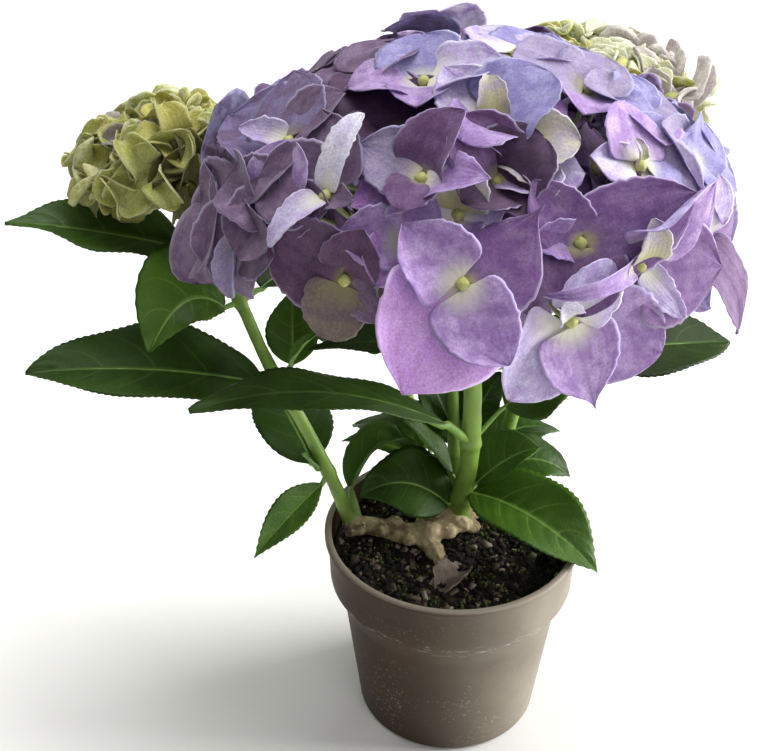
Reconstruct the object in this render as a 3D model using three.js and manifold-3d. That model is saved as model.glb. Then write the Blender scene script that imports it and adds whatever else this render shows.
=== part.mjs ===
// Hydrangea shrub in a small plastic pot, in millimetres, +Z up. The origin is the middle of the
// pot's underside. The plant's open side, with its big lilac head, faces -Y.
import * as THREE from "three";
import { mergeVertices } from "three/addons/utils/BufferGeometryUtils.js";
import Module from "manifold-3d";

const wasm = await Module();
wasm.setup();

// Pot: a thin pressed plastic cup with a wide collar over a narrower, tapering body.
const POT_HEIGHT = 103;
const POT_RIM_RADIUS = 60;
const POT_COLLAR_RADIUS = 57.6;
const POT_COLLAR_FOOT = 78;
const POT_SHOULDER_RADIUS = 51.2;
const POT_SHOULDER_FOOT = 64;
const POT_FOOT_RADIUS = 43.8;
const POT_FOOT_ROUND = 3;
const POT_FOOT_EASE = 0.9;
const POT_LIP = 1.6;
const POT_LIP_DEPTH = 3;
const POT_WALL = 1.8;
const POT_SIDES = 32;

// Potting soil, level with a small heave, inside the pot.
const SOIL_LEVEL = 90;
const SOIL_HEAVE = 2.5;
const SOIL_RINGS = 3;
const SOIL_SIDES = 20;
const FIT_GAP = 0.3;

// Leaf blades: thickness at no length, its growth with length, and where the sections lie.
const LEAF_THICKNESS = 0.9;
const LEAF_THICKNESS_SHARE = 0.008;
const LEAF_SECTIONS = [0.1, 0.27, 0.45, 0.64, 0.83];
const PETIOLE_RADIUS = 1.5;

// Florets: thickness at the middle, and each sepal's widest place, half width and notch to its
// neighbour as shares of its length. Florets get smaller up the dome, to TOP_SHARE of their size.
const SEPAL_THICKNESS = 1.6;
const SEPAL_WIDEST = 0.5;
const SEPAL_HALF_WIDTH = 0.38;
const SEPAL_NOTCH = 0.16;
const SEPAL_TIP_DROP = 0.6;
const TOP_SHARE = 0.8;
const TOP_FROM = 2 / 3;
const STALK_RADIUS = 0.9;
const STALK_COLLAR = 1.26;

const FINISHES = {
  pot: { color: 0x7f7668, roughness: 0.55 }, soil: { color: 0x1c1711, roughness: 1 },
  wood: { color: 0x7a6650, roughness: 0.9 }, stem: { color: 0x7d9a45, roughness: 0.5 },
  leaf: { color: 0x2f4d1b, roughness: 0.5 }, lilac: { color: 0x9b80b8, roughness: 0.6 },
  green: { color: 0xb9bf5a, roughness: 0.6 },
};

// Old wood: limbs that lie over the soil, each a row of points with its radius (x, y, z, r).
const WOOD_SIDES = 6;
const WOOD_STEPS = 2;
const WOOD_LIMBS = [
  [
    [-49.5, 4, 97.5, 4.4], [-45, 7, 98, 5.4], [-34, 8, 96, 4.8], [-20, 6, 94, 5.6], [-6, 10, 94, 6.6],
    [5, 16, 93, 6.4],
  ],
  [[-16, 7, 93, 5.0], [-8, -3, 91, 5.2], [-5, -10, 87, 4.4]],
  [[3, 15, 93, 6.0], [13, 27, 93, 5.0], [22, 38, 92, 4.8]],
  [[-14, 8, 93, 5.0], [-12, 20, 93, 4.4], [-11, 30, 92, 4.2]],
  [[4, 17, 93, 5.6], [4, 30, 93, 4.6], [3, 40, 92, 4.4]],
];

// Stems: each runs from its foot on the old wood through its leaf nodes. A row is a point on the
// middle line with its radius (x, y, z, r); a named row is a leaf node, where a mass sits.
const STEMS = {
  centre: [
    [4, 16, 96, 5.6], ["low", 5, 15, 109, 6.2], [7.5, 13, 128, 4.3], ["middle", 8, 12, 143, 5.4],
    [8, 10, 164, 4.2], ["top", 7, 8, 185, 5.0], [6.6, 5, 200, 3.9],
  ],
  left: [
    [-48, 8, 100, 3.6], ["low", -58, 12, 126, 3.7], [-71, 16, 154, 2.9], ["middle", -80, 19, 171, 3.7],
    [-89, 25, 189, 2.7], ["high", -97, 32, 206, 3.4], [-105, 38, 218, 2.5], ["top", -113, 44, 230, 3.2],
    [-119, 48, 238, 2.4],
  ],
  right: [
    [22, 38, 94, 4.0], [29, 48, 124, 3.4], ["low", 36, 57, 150, 4.2], [43, 68, 178, 3.0],
    ["high", 52, 80, 205, 3.8], [60, 94, 230, 2.7],
  ],
  young: [[-11, 31, 93, 3.0], ["low", -13, 33, 116, 3.4], [-18, 36, 144, 2.3], ["top", -27, 37, 173, 2.8]],
  back: [
    [3, 41, 94, 3.6], ["low", 3, 45, 113, 4.0], [2, 50, 136, 2.9], ["high", 0, 62, 172, 3.5],
    [-2, 70, 190, 2.4], ["top", -4, 77, 204, 2.8],
  ],
};
const STEM_SIDES = 8;
const NODE_HALF_LENGTH = 4.5;
const NODE_END_SHARE = 0.84;

// Leaves by node: blade foot, blade tip, arch (mm), width (mm), roll and fold (degrees).
const LEAVES = {
  centre_low: [
    [[10, 12, 114], [65, -29, 100], 8, 46, 8, 16], [[-1, 12, 107], [-44, 8, 114], 11, 38, -30, 8],
    [[12, 17, 116], [42, 21, 134], 4, 34, 15, 30], [[27, 34, 114], [60, 34, 107], 7, 30, 15, 10],
    [[1, 22, 118], [-23, 27, 146], 2, 24, 10, 12],
  ],
  centre_middle: [
    [[-5, 0, 162], [-111, -45, 198], 13, 36, 0, 4], [[23, 14, 162], [56, 18, 170], 4, 34, 25, 8],
  ],
  centre_top: [
    [[46, 14, 190], [126, 30, 187], 1, 46, 10, 10], [[-12, 16, 193], [-66, 17, 190], 3, 27, 0, 10],
  ],
  left_low: [
    [[-66, 17, 128], [-92, 62, 148], 4, 40, 0, 8], [[-61, 8, 122], [-91, -25, 105], 2, 26, -35, 20],
    [[-63, 10, 129], [-70, 7, 140], 1, 9, 0, 20],
  ],
  left_middle: [
    [[-88, 18, 172], [-192, 10, 182], 5, 50, -9, 19], [[-74, 27, 176], [-74, 45, 205], 2, 26, 0, 15],
    [[-75, 21, 180], [-62, 24, 194], 2, 9, 0, 30],
  ],
  left_high: [
    [[-103, 27, 206], [-132, -8, 203], 14, 52, -38, 12], [[-88, 42, 208], [-54, 78, 206], 5, 40, 0, 10],
  ],
  left_top: [
    [[-121, 42, 228], [-196, 30, 247], 2, 46, -4, 6], [[-108, 54, 232], [-88, 104, 226], 6, 40, 0, 10],
  ],
  right_low: [[[44, 64, 152], [88, 108, 148], 8, 42, 0, 10], [[27, 68, 152], [2, 118, 142], 8, 40, 0, 10]],
  right_high: [[[72, 76, 202], [138, 66, 200], 5, 38, 0, 10], [[44, 92, 208], [18, 146, 208], 8, 42, 0, 10]],
  young_low: [[[-19, 38, 118], [-53, 42, 123], 3, 18, 0, 10], [[-8, 40, 120], [-30, 78, 124], 6, 26, 0, 10]],
  young_top: [
    [[-30, 40, 179], [-38, 45, 212], 0, 24, 0, 10], [[-33, 38, 177], [-64, 44, 180], 4, 28, 0, 10],
    [[-30, 33, 178], [-44, 30, 203], 2, 9, 0, 25],
    [[-26, 34, 178], [-33, 30, 193], 1, 7, 0, 25],
  ],
  back_low: [
    [[2, 50, 124], [-14, 66, 152], 3, 32, 0, 10], [[10, 49, 124], [26, 62, 150], 3, 28, 0, 10],
    [[4, 54, 112], [4, 108, 104], 10, 40, 0, 10], [[16, 50, 112], [60, 78, 104], 8, 36, 0, 10],
    [[-8, 52, 112], [-48, 82, 104], 8, 36, 0, 10],
  ],
  back_high: [[[-10, 68, 174], [-60, 98, 168], 8, 42, 0, 10], [[10, 70, 176], [30, 118, 172], 8, 40, 0, 10]],
  back_top: [
    [[-10, 82, 208], [-30, 122, 204], 6, 30, 0, 12], [[2, 84, 210], [14, 104, 222], 2, 20, 0, 15],
    [[-8, 76, 210], [-28, 80, 222], 2, 18, 0, 15],
  ],
};

// A young shoot that springs straight from the old wood: its bud's limb and its leaves.
const SHOOT = {
  bud: [[-45, 11, 99, 2.8], [-47, 15, 107, 2.4]],
  leaves: [[[-48, 19, 112], [-18, 35, 119], 17, 24, 0, 40]],
};

// Flower heads. Each is a dome of four-sepal florets on the skin of an ellipsoid.
// A placed floret is its azimuth and elevation on the dome, the turn of its face (azimuth,
// elevation), its roll, its inner and outer sepal length (mm) and how far it cups (degrees).
const HEADS = {
  lilac: {
    finish: FINISHES.lilac, middle: [0, -14, 275], reach: [95, 87, 59],
    stem: "centre", hub: [6.4, 2, 219], stemRadius: 3.8, branchReach: 0.5,
    fill: 62, lowest: -34, spacing: 31, inner: [24, 30], outer: [30, 37], seed: 11,
    placed: [
      [-94, 11, -10, 16, 44, 30, 41, 8], [-72, -4, 0, 14, 18, 30, 38, 12], [-56, 10, 0, 0, -50, 28, 40, 14],
      [-67, 19, -14, 4, 40, 24, 36, 20], [-86, 59, 0, -10, -50, 28, 34, 30],
      [-77, 52, 0, 0, -20, 24, 34, 20], [-43, 37, 0, 0, -10, 28, 36, 18], [-85, 41, 10, 0, 30, 22, 28, 35],
      [-106, 40, -10, 0, 60, 28, 34, 15], [-96, 30, 0, 0, 10, 24, 26, 30],
      [-128, 30, -10, 5, 70, 28, 32, 18], [-120, 5, 10, 0, 80, 28, 34, 10],
      [-108, 20, 10, 0, 40, 26, 30, 20], [-154, 39, 0, 0, 20, 28, 38, 15], [-153, 8, 0, 0, 50, 30, 34, 15],
      [-127, 56, 0, 0, 20, 28, 32, 15], [96, 46, 0, 0, 60, 24, 30, 20], [-129, 72, 0, 0, -30, 26, 30, 20],
      [-170, 66, 0, 0, 20, 24, 28, 20], [-32, 6, 0, -6, 0, 28, 38, 10], [11, 80, 0, 0, 20, 24, 28, 20],
      [-26, 62, 0, 0, 20, 28, 36, 15], [-19, 28, 0, 0, 30, 24, 30, 15], [-16, 51, 0, 0, 50, 22, 28, 15],
      [-142, 23, 0, 0, 0, 24, 28, 20], [-72, 41, 0, 0, 0, 18, 22, 40],
    ],
  },
  green_left: {
    finish: FINISHES.green, middle: [-130, 56, 266], reach: [37, 36, 26],
    stem: "left", hub: [-124, 52, 246], stemRadius: 2.4, branchReach: 0.45,
    fill: 38, lowest: -20, spacing: 18, inner: [13, 16], outer: [16, 19], seed: 23, placed: [],
  },
  green_right: {
    finish: FINISHES.green, middle: [67, 120, 275], reach: [54, 50, 26],
    stem: "right", hub: [65, 106, 247], stemRadius: 2.6, branchReach: 0.45,
    fill: 38, lowest: -20, spacing: 20, inner: [15, 18], outer: [18, 22], seed: 37, placed: [],
  },
};
const PRIMARY_BRANCHES = 7;
const BRANCH_RISE = 8;
const BRANCH_FOOT_SHARE = 0.72;
const BRANCH_TIP_SHARE = 0.4;
const ROOT_FIRST = 0.06;
const ROOT_STEP = 0.09;
const HEAD_STEM_SIDES = 6;
const HEAD_BRANCH_SIDES = 4;
const HEAD_CLEARANCE = 24;

// A filled floret's turn from the dome's skin, tilt and cupping in degrees, and the spiral's step.
const FILL_TURN = [-14, 14];
const FILL_TILT = [-10, 14];
const FILL_CUP = [8, 26];
const SPIRAL_STEP = 137.508;
const FACE_LOWEST = -30;
const FACE_HIGHEST = 88;

// Sliver faces that a join leaves are merged away below this size.
const MERGE_SIZE = 0.05;

const UP = new THREE.Vector3(0, 0, 1);
const NORTH = new THREE.Vector3(0, 1, 0);
const STEEP = 0.7;
const FACING_UP = 0.98;
const vec = (p) => new THREE.Vector3(p[0], p[1], p[2]);
const mix = (a, b, t) => a + (b - a) * t;
const radians = (angle) => (angle * Math.PI) / 180;
const degrees = (angle) => (angle * 180) / Math.PI;

// The plant's seeded rule: the same seed always gives the same row of shares between 0 and 1.
function seeded(seed) {
  let state = seed;
  return () => {
    state = (state * 1664525 + 1013904223) % 4294967296;
    return state / 4294967296;
  };
}

// A closed skin over a row of rings. A ring of one point is a tip; the first and last are capped.
function loft(rings) {
  const points = [];
  const faces = [];
  const starts = rings.map((ring) => {
    const start = points.length;
    points.push(...ring);
    return start;
  });
  for (let k = 0; k + 1 < rings.length; k++) {
    const sides = Math.max(rings[k].length, rings[k + 1].length);
    for (let i = 0; i < sides; i++) {
      const j = (i + 1) % sides;
      const below = (n) => starts[k] + (rings[k].length === 1 ? 0 : n);
      const above = (n) => starts[k + 1] + (rings[k + 1].length === 1 ? 0 : n);
      if (rings[k].length > 1) faces.push(below(i), below(j), above(j));
      if (rings[k + 1].length > 1) faces.push(below(i), above(j), above(i));
    }
  }
  const last = rings.length - 1;
  const [low, high] = [starts[0], starts[last]];
  for (let i = 1; i + 1 < rings[0].length; i++) faces.push(low, low + i + 1, low + i);
  for (let i = 1; i + 1 < rings[last].length; i++) faces.push(high, high + i, high + i + 1);
  return skin(points, faces);
}

function skin(points, faces) {
  const geometry = new THREE.BufferGeometry();
  geometry.setAttribute("position", new THREE.Float32BufferAttribute(points.flatMap((p) => p.toArray()), 3));
  geometry.setIndex(faces);
  return geometry;
}

// Geometry to solid.
function solidOf(geometry) {
  const bare = geometry.clone();
  bare.deleteAttribute("normal");
  bare.deleteAttribute("uv");
  const merged = mergeVertices(bare, 1e-4);
  const vertProperties = merged.attributes.position.array;
  const triVerts = Uint32Array.from(merged.index.array);
  return new wasm.Manifold(new wasm.Mesh({ numProp: 3, vertProperties, triVerts }));
}

// Shapes joined into one solid, cut clear of the others given. Only its largest body is kept.
function fuse(geometries, clearOf = []) {
  const joined = wasm.Manifold.union(geometries.map(solidOf));
  return largestBody(clearOf.length ? joined.subtract(wasm.Manifold.union(clearOf.map(solidOf))) : joined);
}

function largestBody(solid) {
  const bodies = solid.decompose().filter((body) => body.volume() > 0);
  return bodies.reduce((best, body) => (body.volume() > best.volume() ? body : best)).simplify(MERGE_SIZE);
}

// Solid back to flat-shaded geometry.
function geometryOf(solid) {
  const mesh = solid.getMesh();
  const geometry = new THREE.BufferGeometry();
  geometry.setAttribute("position", new THREE.Float32BufferAttribute(mesh.vertProperties, 3));
  geometry.setIndex(Array.from(mesh.triVerts));
  const flat = geometry.toNonIndexed();
  flat.computeVertexNormals();
  return flat;
}

// A tapering limb with round sections: rows of x, y, z, radius, smoothed between them.
function limb(rows, sides, steps, grow = 0) {
  const curve = new THREE.CatmullRomCurve3(rows.map(vec), false, "centripetal");
  const radiusAt = (t) => {
    const s = t * (rows.length - 1);
    const k = Math.min(Math.floor(s), rows.length - 2);
    return mix(rows[k][3], rows[k + 1][3], s - k) + grow;
  };
  const count = steps * (rows.length - 1);
  const rings = [];
  for (let k = 0; k <= count; k++) {
    const t = k / count;
    const along = curve.getTangent(t);
    const reference = Math.abs(along.z) > STEEP ? NORTH : UP;
    const side = new THREE.Vector3().crossVectors(along, reference).normalize();
    const other = new THREE.Vector3().crossVectors(along, side).normalize();
    rings.push(ringAround(curve.getPoint(t), side, other, radiusAt(t), sides));
  }
  return loft(rings);
}

function ringAround(middle, side, other, radius, sides, first = 0) {
  const ring = [];
  for (let i = 0; i < sides; i++) {
    const angle = first + (2 * Math.PI * i) / sides;
    const point = middle.clone().addScaledVector(side, radius * Math.cos(angle));
    ring.push(point.addScaledVector(other, radius * Math.sin(angle)));
  }
  return ring;
}

// One leaf: a petiole from its node into a pointed blade with a shallow fold along the midrib.
function bladeShape(t) {
  return Math.pow(Math.sin(Math.PI * Math.pow(t, 0.74)), 0.85) * (1 - 0.2 * t * t);
}

function leaf(node, row) {
  const [foot, tip, arch, width, roll, fold] = row;
  const from = vec(foot);
  const to = vec(tip);
  const length = from.distanceTo(to);
  const heading = new THREE.Vector3(to.x - from.x, to.y - from.y, 0).normalize();
  const across = new THREE.Vector3().crossVectors(heading, UP);
  const lift = from.clone().add(to).multiplyScalar(0.5).addScaledVector(UP, 2 * arch);
  const midrib = new THREE.QuadraticBezierCurve3(from, lift, to);
  const half = (LEAF_THICKNESS + LEAF_THICKNESS_SHARE * length) / 2;
  const section = (middle, along, w, thick, turn, bend) => {
    const side = across.clone().addScaledVector(along, -across.dot(along)).normalize();
    side.applyAxisAngle(along, radians(turn));
    const face = new THREE.Vector3().crossVectors(side, along);
    const out = w * Math.cos(radians(bend));
    const rise = w * Math.sin(radians(bend));
    return [
      middle.clone().addScaledVector(side, out).addScaledVector(face, rise),
      middle.clone().addScaledVector(face, -thick),
      middle.clone().addScaledVector(side, -out).addScaledVector(face, rise),
      middle.clone().addScaledVector(face, thick),
    ];
  };
  const start = vec(node);
  const rings = [];
  const petiole = from.clone().sub(start).normalize();
  rings.push(section(start, petiole, PETIOLE_RADIUS, PETIOLE_RADIUS, 0, 0));
  rings.push(section(start.clone().lerp(from, 0.8), petiole, PETIOLE_RADIUS, PETIOLE_RADIUS, roll / 2, 0));
  for (const t of LEAF_SECTIONS) {
    const w = Math.max((width / 2) * bladeShape(t), PETIOLE_RADIUS);
    rings.push(section(midrib.getPoint(t), midrib.getTangent(t).normalize(), w, half, roll, fold));
  }
  rings.push([to]);
  return loft(rings);
}

// The stretch of stem at a leaf node, a little swollen.
function nodeSwelling(before, node, after) {
  const middle = vec(node);
  const up = vec(after).sub(vec(before)).normalize();
  const end = (sign) => {
    const p = middle.clone().addScaledVector(up, sign * NODE_HALF_LENGTH);
    return [p.x, p.y, p.z, node[3] * NODE_END_SHARE];
  };
  return limb([end(-1), node, end(1)], STEM_SIDES, 1);
}

// Each stem is cut at its leaf nodes: a node swelling belongs to that node's mass of leaves.
function stemPieces(name, rows) {
  const plain = rows.map((row) => (typeof row[0] === "string" ? row.slice(1) : row));
  const limbs = [];
  const nodes = [];
  let run = [];
  rows.forEach((row, k) => {
    if (typeof row[0] !== "string") {
      run.push(plain[k]);
      return;
    }
    const before = plain[k - 1];
    const after = plain[Math.min(k + 1, plain.length - 1)];
    const up = vec(after).sub(vec(before)).normalize();
    const cut = (sign) => {
      const p = vec(plain[k]).addScaledVector(up, sign * (NODE_HALF_LENGTH + FIT_GAP));
      return [p.x, p.y, p.z, plain[k][3] * NODE_END_SHARE];
    };
    run.push(cut(-1));
    limbs.push(run);
    nodes.push({ name: `${name}_${row[0]}`, swelling: nodeSwelling(before, plain[k], after), at: plain[k] });
    run = k + 1 < rows.length ? [cut(1)] : [];
  });
  if (run.length > 1) limbs.push(run);
  return { limbs, nodes };
}

// One floret: four pointed sepals about a short stalk, the outer pair set under the inner pair.
function facing(azimuth, elevation) {
  const a = radians(azimuth);
  const e = radians(elevation);
  return new THREE.Vector3(Math.cos(e) * Math.cos(a), Math.cos(e) * Math.sin(a), Math.sin(e));
}

function floret(item, root) {
  const { middle, face } = item;
  const reference = face.z > FACING_UP ? NORTH : UP;
  const up = reference.clone().addScaledVector(face, -reference.dot(face)).normalize();
  const left = new THREE.Vector3().crossVectors(face, up);
  const at = (angle, distance, rise) => {
    const point = middle.clone().addScaledVector(face, rise);
    point.addScaledVector(up, distance * Math.cos(radians(angle)));
    return point.addScaledVector(left, distance * Math.sin(radians(angle)));
  };
  const spread = degrees(Math.atan2(SEPAL_HALF_WIDTH, SEPAL_WIDEST));
  const points = [middle.clone().addScaledVector(face, SEPAL_THICKNESS / 2)];
  const faces = [];
  for (let k = 0; k < 4; k++) {
    const length = k % 2 === 0 ? item.inner : item.outer;
    const slope = Math.tan(radians(k % 2 === 0 ? item.cup : item.cup * 0.5));
    const angle = item.roll + 90 * k;
    const broad = Math.hypot(SEPAL_WIDEST, SEPAL_HALF_WIDTH) * length;
    const rise = SEPAL_WIDEST * length * slope;
    points.push(at(angle - spread, broad, rise), at(angle, length, SEPAL_TIP_DROP * length * slope));
    points.push(at(angle + spread, broad, rise), at(angle + 45, SEPAL_NOTCH * length, 0));
  }
  const alongStalk = root.clone().sub(middle).normalize();
  const acrossStalk = up.clone().addScaledVector(alongStalk, -up.dot(alongStalk)).normalize();
  const otherStalk = new THREE.Vector3().crossVectors(acrossStalk, alongStalk);
  const under = middle.clone().addScaledVector(face, -SEPAL_THICKNESS / 2);
  const quarter = radians(item.roll + 90);
  points.push(...ringAround(under, up, left, STALK_COLLAR, 4, quarter));
  points.push(...ringAround(root, acrossStalk, otherStalk, STALK_RADIUS, 4, quarter));
  const rim = (n) => 1 + ((n + 16) % 16);
  const collar = (k) => 17 + ((k + 4) % 4);
  const foot = (k) => 21 + ((k + 4) % 4);
  for (let n = 0; n < 16; n++) faces.push(0, rim(n), rim(n + 1));
  for (let k = 0; k < 4; k++) {
    // The collar point k stands under the sepal that begins at rim point 4 (k + 1).
    const first = 4 * (k + 1);
    faces.push(collar(k), rim(first), rim(first - 1), collar(k), rim(first + 1), rim(first));
    faces.push(collar(k), rim(first + 2), rim(first + 1), collar(k), rim(first + 3), rim(first + 2));
    faces.push(collar(k), collar(k + 1), rim(first + 3));
    faces.push(collar(k), foot(k), foot(k + 1), collar(k), foot(k + 1), collar(k + 1));
  }
  faces.push(foot(0), foot(2), foot(1), foot(0), foot(3), foot(2));
  return skin(points, faces);
}

// Florets of a head: the placed ones first, then a sunflower spiral fills what they leave bare.
function floretsOf(head) {
  const middle = vec(head.middle);
  const reach = vec(head.reach);
  const random = seeded(head.seed);
  const items = [];
  const place = (azimuth, elevation) => facing(azimuth, elevation).multiply(reach).add(middle);
  const outward = (azimuth, elevation) => facing(azimuth, elevation).divide(reach).normalize();
  const angles = (v) => [degrees(Math.atan2(v.y, v.x)), degrees(Math.asin(v.z))];
  const turned = (v, azimuth, elevation) => {
    const [a, e] = angles(v);
    return facing(a + azimuth, Math.min(Math.max(e + elevation, FACE_LOWEST), FACE_HIGHEST));
  };
  for (const [azimuth, elevation, turnA, turnE, roll, inner, outer, cup] of head.placed) {
    const face = turned(outward(azimuth, elevation), turnA, turnE);
    items.push({ middle: place(azimuth, elevation), face, roll, inner, outer, cup });
  }
  const lowest = Math.sin(radians(head.lowest));
  for (let k = 0; k < head.fill; k++) {
    const height = mix(1, lowest, (k + 0.5) / head.fill);
    const azimuth = (k * SPIRAL_STEP) % 360;
    const elevation = degrees(Math.asin(height));
    const draws = Array.from({ length: 6 }, random);
    const spot = place(azimuth, elevation);
    if (items.some((item) => item.middle.distanceTo(spot) < head.spacing)) continue;
    if (!clearOfLilac(head, spot)) continue;
    const [turn, tilt] = [mix(...FILL_TURN, draws[0]), mix(...FILL_TILT, draws[1])];
    items.push({
      middle: spot, face: turned(outward(azimuth, elevation), turn, tilt), roll: draws[2] * 90,
      inner: mix(...head.inner, draws[3]), outer: mix(...head.outer, draws[4]), cup: mix(...FILL_CUP, draws[5]),
    });
  }
  return items;
}

// A green floret that would reach into the lilac head is skipped.
function clearOfLilac(head, spot) {
  if (head === HEADS.lilac) return true;
  const away = spot.clone().sub(vec(HEADS.lilac.middle));
  const space = vec(HEADS.lilac.reach).addScalar(HEAD_CLEARANCE + head.outer[1]);
  return away.divide(space).length() > 1;
}

// One head: a short stem on from its bough's tip, main branches that fan out from the hub, and the
// florets, whose stalks are rooted along the nearest branch.
function flowerHead(head) {
  const middle = vec(head.middle);
  const hub = vec(head.hub);
  const thick = head.stemRadius;
  const [before, end] = STEMS[head.stem].slice(-2).map((row) => vec(row.filter(Number.isFinite)));
  const heading = hub.clone().sub(end).normalize();
  const bend = heading.angleTo(end.clone().sub(before));
  const start = end.clone().addScaledVector(heading, FIT_GAP + thick * Math.sin(bend));
  const shapes = [limb([[...start.toArray(), thick], [...head.hub, thick]], HEAD_STEM_SIDES, 1)];
  const tips = [];
  for (let k = 0; k <= PRIMARY_BRANCHES; k++) {
    const top = k === PRIMARY_BRANCHES;
    const direction = top ? UP.clone() : facing((360 * k) / PRIMARY_BRANCHES, BRANCH_RISE);
    const tip = direction.multiply(vec(head.reach)).multiplyScalar(head.branchReach).add(middle);
    tips.push(tip);
    const foot = [hub.x, hub.y, hub.z - thick / 2, thick * BRANCH_FOOT_SHARE];
    shapes.push(limb([foot, [...tip.toArray(), thick * BRANCH_TIP_SHARE]], HEAD_BRANCH_SIDES, 1));
  }
  const used = tips.map(() => 0);
  for (const item of floretsOf(head)) {
    const reaches = tips.map((tip) => tip.distanceTo(item.middle));
    const near = reaches.indexOf(Math.min(...reaches));
    const root = tips[near].clone().lerp(hub, ROOT_FIRST + ROOT_STEP * used[near]++);
    const height = (item.middle.z - middle.z) / (head.reach[2] * TOP_FROM);
    const share = mix(1, TOP_SHARE, Math.min(Math.max(height, 0), 1));
    shapes.push(floret({ ...item, inner: item.inner * share, outer: item.outer * share }, root));
  }
  return fuse(shapes);
}

// A closed lathe body about the Z axis from its profile's radii and heights.
function turnedBody(profile, sides) {
  const points = profile.map(([r, z]) => new THREE.Vector2(r, z));
  return new THREE.LatheGeometry(points, sides).rotateX(Math.PI / 2);
}

// Pot: one lathe profile that closes on the axis, outside up and inside down.
function potShape() {
  const outside = [
    [0, 0], [POT_FOOT_RADIUS - POT_FOOT_ROUND, 0], [POT_FOOT_RADIUS - POT_FOOT_EASE, POT_FOOT_EASE],
    [POT_FOOT_RADIUS, POT_FOOT_ROUND], [POT_SHOULDER_RADIUS, POT_SHOULDER_FOOT],
    [(POT_SHOULDER_RADIUS + POT_COLLAR_RADIUS) / 2, (POT_SHOULDER_FOOT + POT_COLLAR_FOOT) / 2],
    [POT_COLLAR_RADIUS, POT_COLLAR_FOOT], [POT_RIM_RADIUS - POT_LIP, POT_HEIGHT - POT_LIP_DEPTH],
    [POT_RIM_RADIUS, POT_HEIGHT - POT_LIP_DEPTH], [POT_RIM_RADIUS, POT_HEIGHT],
  ];
  const inside = potInside(0).slice(1).reverse();
  return turnedBody([...outside, ...inside, [0, POT_WALL]], POT_SIDES);
}

// The inner wall, from the middle of the floor up to the mouth, set in by the given gap.
function potInside(gap) {
  const wall = POT_WALL + gap;
  return [
    [0, wall], [POT_FOOT_RADIUS - wall, wall], [POT_SHOULDER_RADIUS - wall, POT_SHOULDER_FOOT],
    [POT_COLLAR_RADIUS - wall, POT_COLLAR_FOOT], [POT_RIM_RADIUS - POT_LIP - wall, POT_HEIGHT],
  ];
}

function soilSolid() {
  const wall = potInside(FIT_GAP);
  const share = (SOIL_LEVEL - POT_COLLAR_FOOT) / (POT_HEIGHT - POT_COLLAR_FOOT);
  const edge = mix(wall[3][0], wall[4][0], share);
  const profile = [...wall.slice(0, 4), [edge, SOIL_LEVEL]];
  for (let k = SOIL_RINGS - 1; k >= 0; k--) profile.push([(edge * k) / SOIL_RINGS, SOIL_LEVEL]);
  const geometry = turnedBody(profile, SOIL_SIDES);
  const position = geometry.attributes.position;
  for (let i = 0; i < position.count; i++) {
    const x = position.getX(i);
    const y = position.getY(i);
    if (position.getZ(i) < SOIL_LEVEL - FIT_GAP || Math.hypot(x, y) > edge - 1) continue;
    position.setZ(i, SOIL_LEVEL + soilHeave(x, y));
  }
  return fuse([geometry], woodLimbs(FIT_GAP));
}

// The soil's low bumps and hollows.
function soilHeave(x, y) {
  return SOIL_HEAVE * Math.sin(x * 0.13 + 1) * Math.cos(y * 0.11 - x * 0.05);
}

function woodLimbs(grow = 0) {
  return WOOD_LIMBS.map((rows) => limb(rows, WOOD_SIDES, WOOD_STEPS, grow));
}

const group = new THREE.Group();

function add(name, solid, finish) {
  const material = new THREE.MeshStandardMaterial({ ...finish, metalness: 0 });
  const mesh = new THREE.Mesh(geometryOf(solid), material);
  mesh.name = name;
  group.add(mesh);
}

add("pot", solidOf(potShape()), FINISHES.pot);
add("potting_soil", soilSolid(), FINISHES.soil);
add("woody_base", fuse(woodLimbs()), FINISHES.wood);

// The stems, and the leaves at their nodes, which are cut clear of every stem.
const stems = Object.entries(STEMS).map(([name, rows]) => ({ name, ...stemPieces(name, rows) }));
const clearWood = woodLimbs(FIT_GAP);
const clearLimbs = stems.flatMap(({ limbs }) => limbs.map((run) => limb(run, STEM_SIDES, 1, FIT_GAP)));
clearLimbs.push(...clearWood);
for (const { name, limbs, nodes } of stems) {
  limbs.forEach((run, k) => {
    add(`stem_${name}_${k + 1}`, fuse([limb(run, STEM_SIDES, 1)], clearWood), FINISHES.stem);
  });
  for (const node of nodes) {
    const blades = LEAVES[node.name].map((row) => leaf(node.at, row));
    add(`leaves_${node.name}`, fuse([node.swelling, ...blades], clearLimbs), FINISHES.leaf);
  }
}
const shootBlades = SHOOT.leaves.map((row) => leaf(SHOOT.bud[1], row));
add("leaves_base", fuse([limb(SHOOT.bud, WOOD_SIDES, 1), ...shootBlades], clearLimbs), FINISHES.leaf);

for (const [name, head] of Object.entries(HEADS)) {
  add(`flower_head_${name}`, flowerHead(head), head.finish);
}

export default group;
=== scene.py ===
import math

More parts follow.
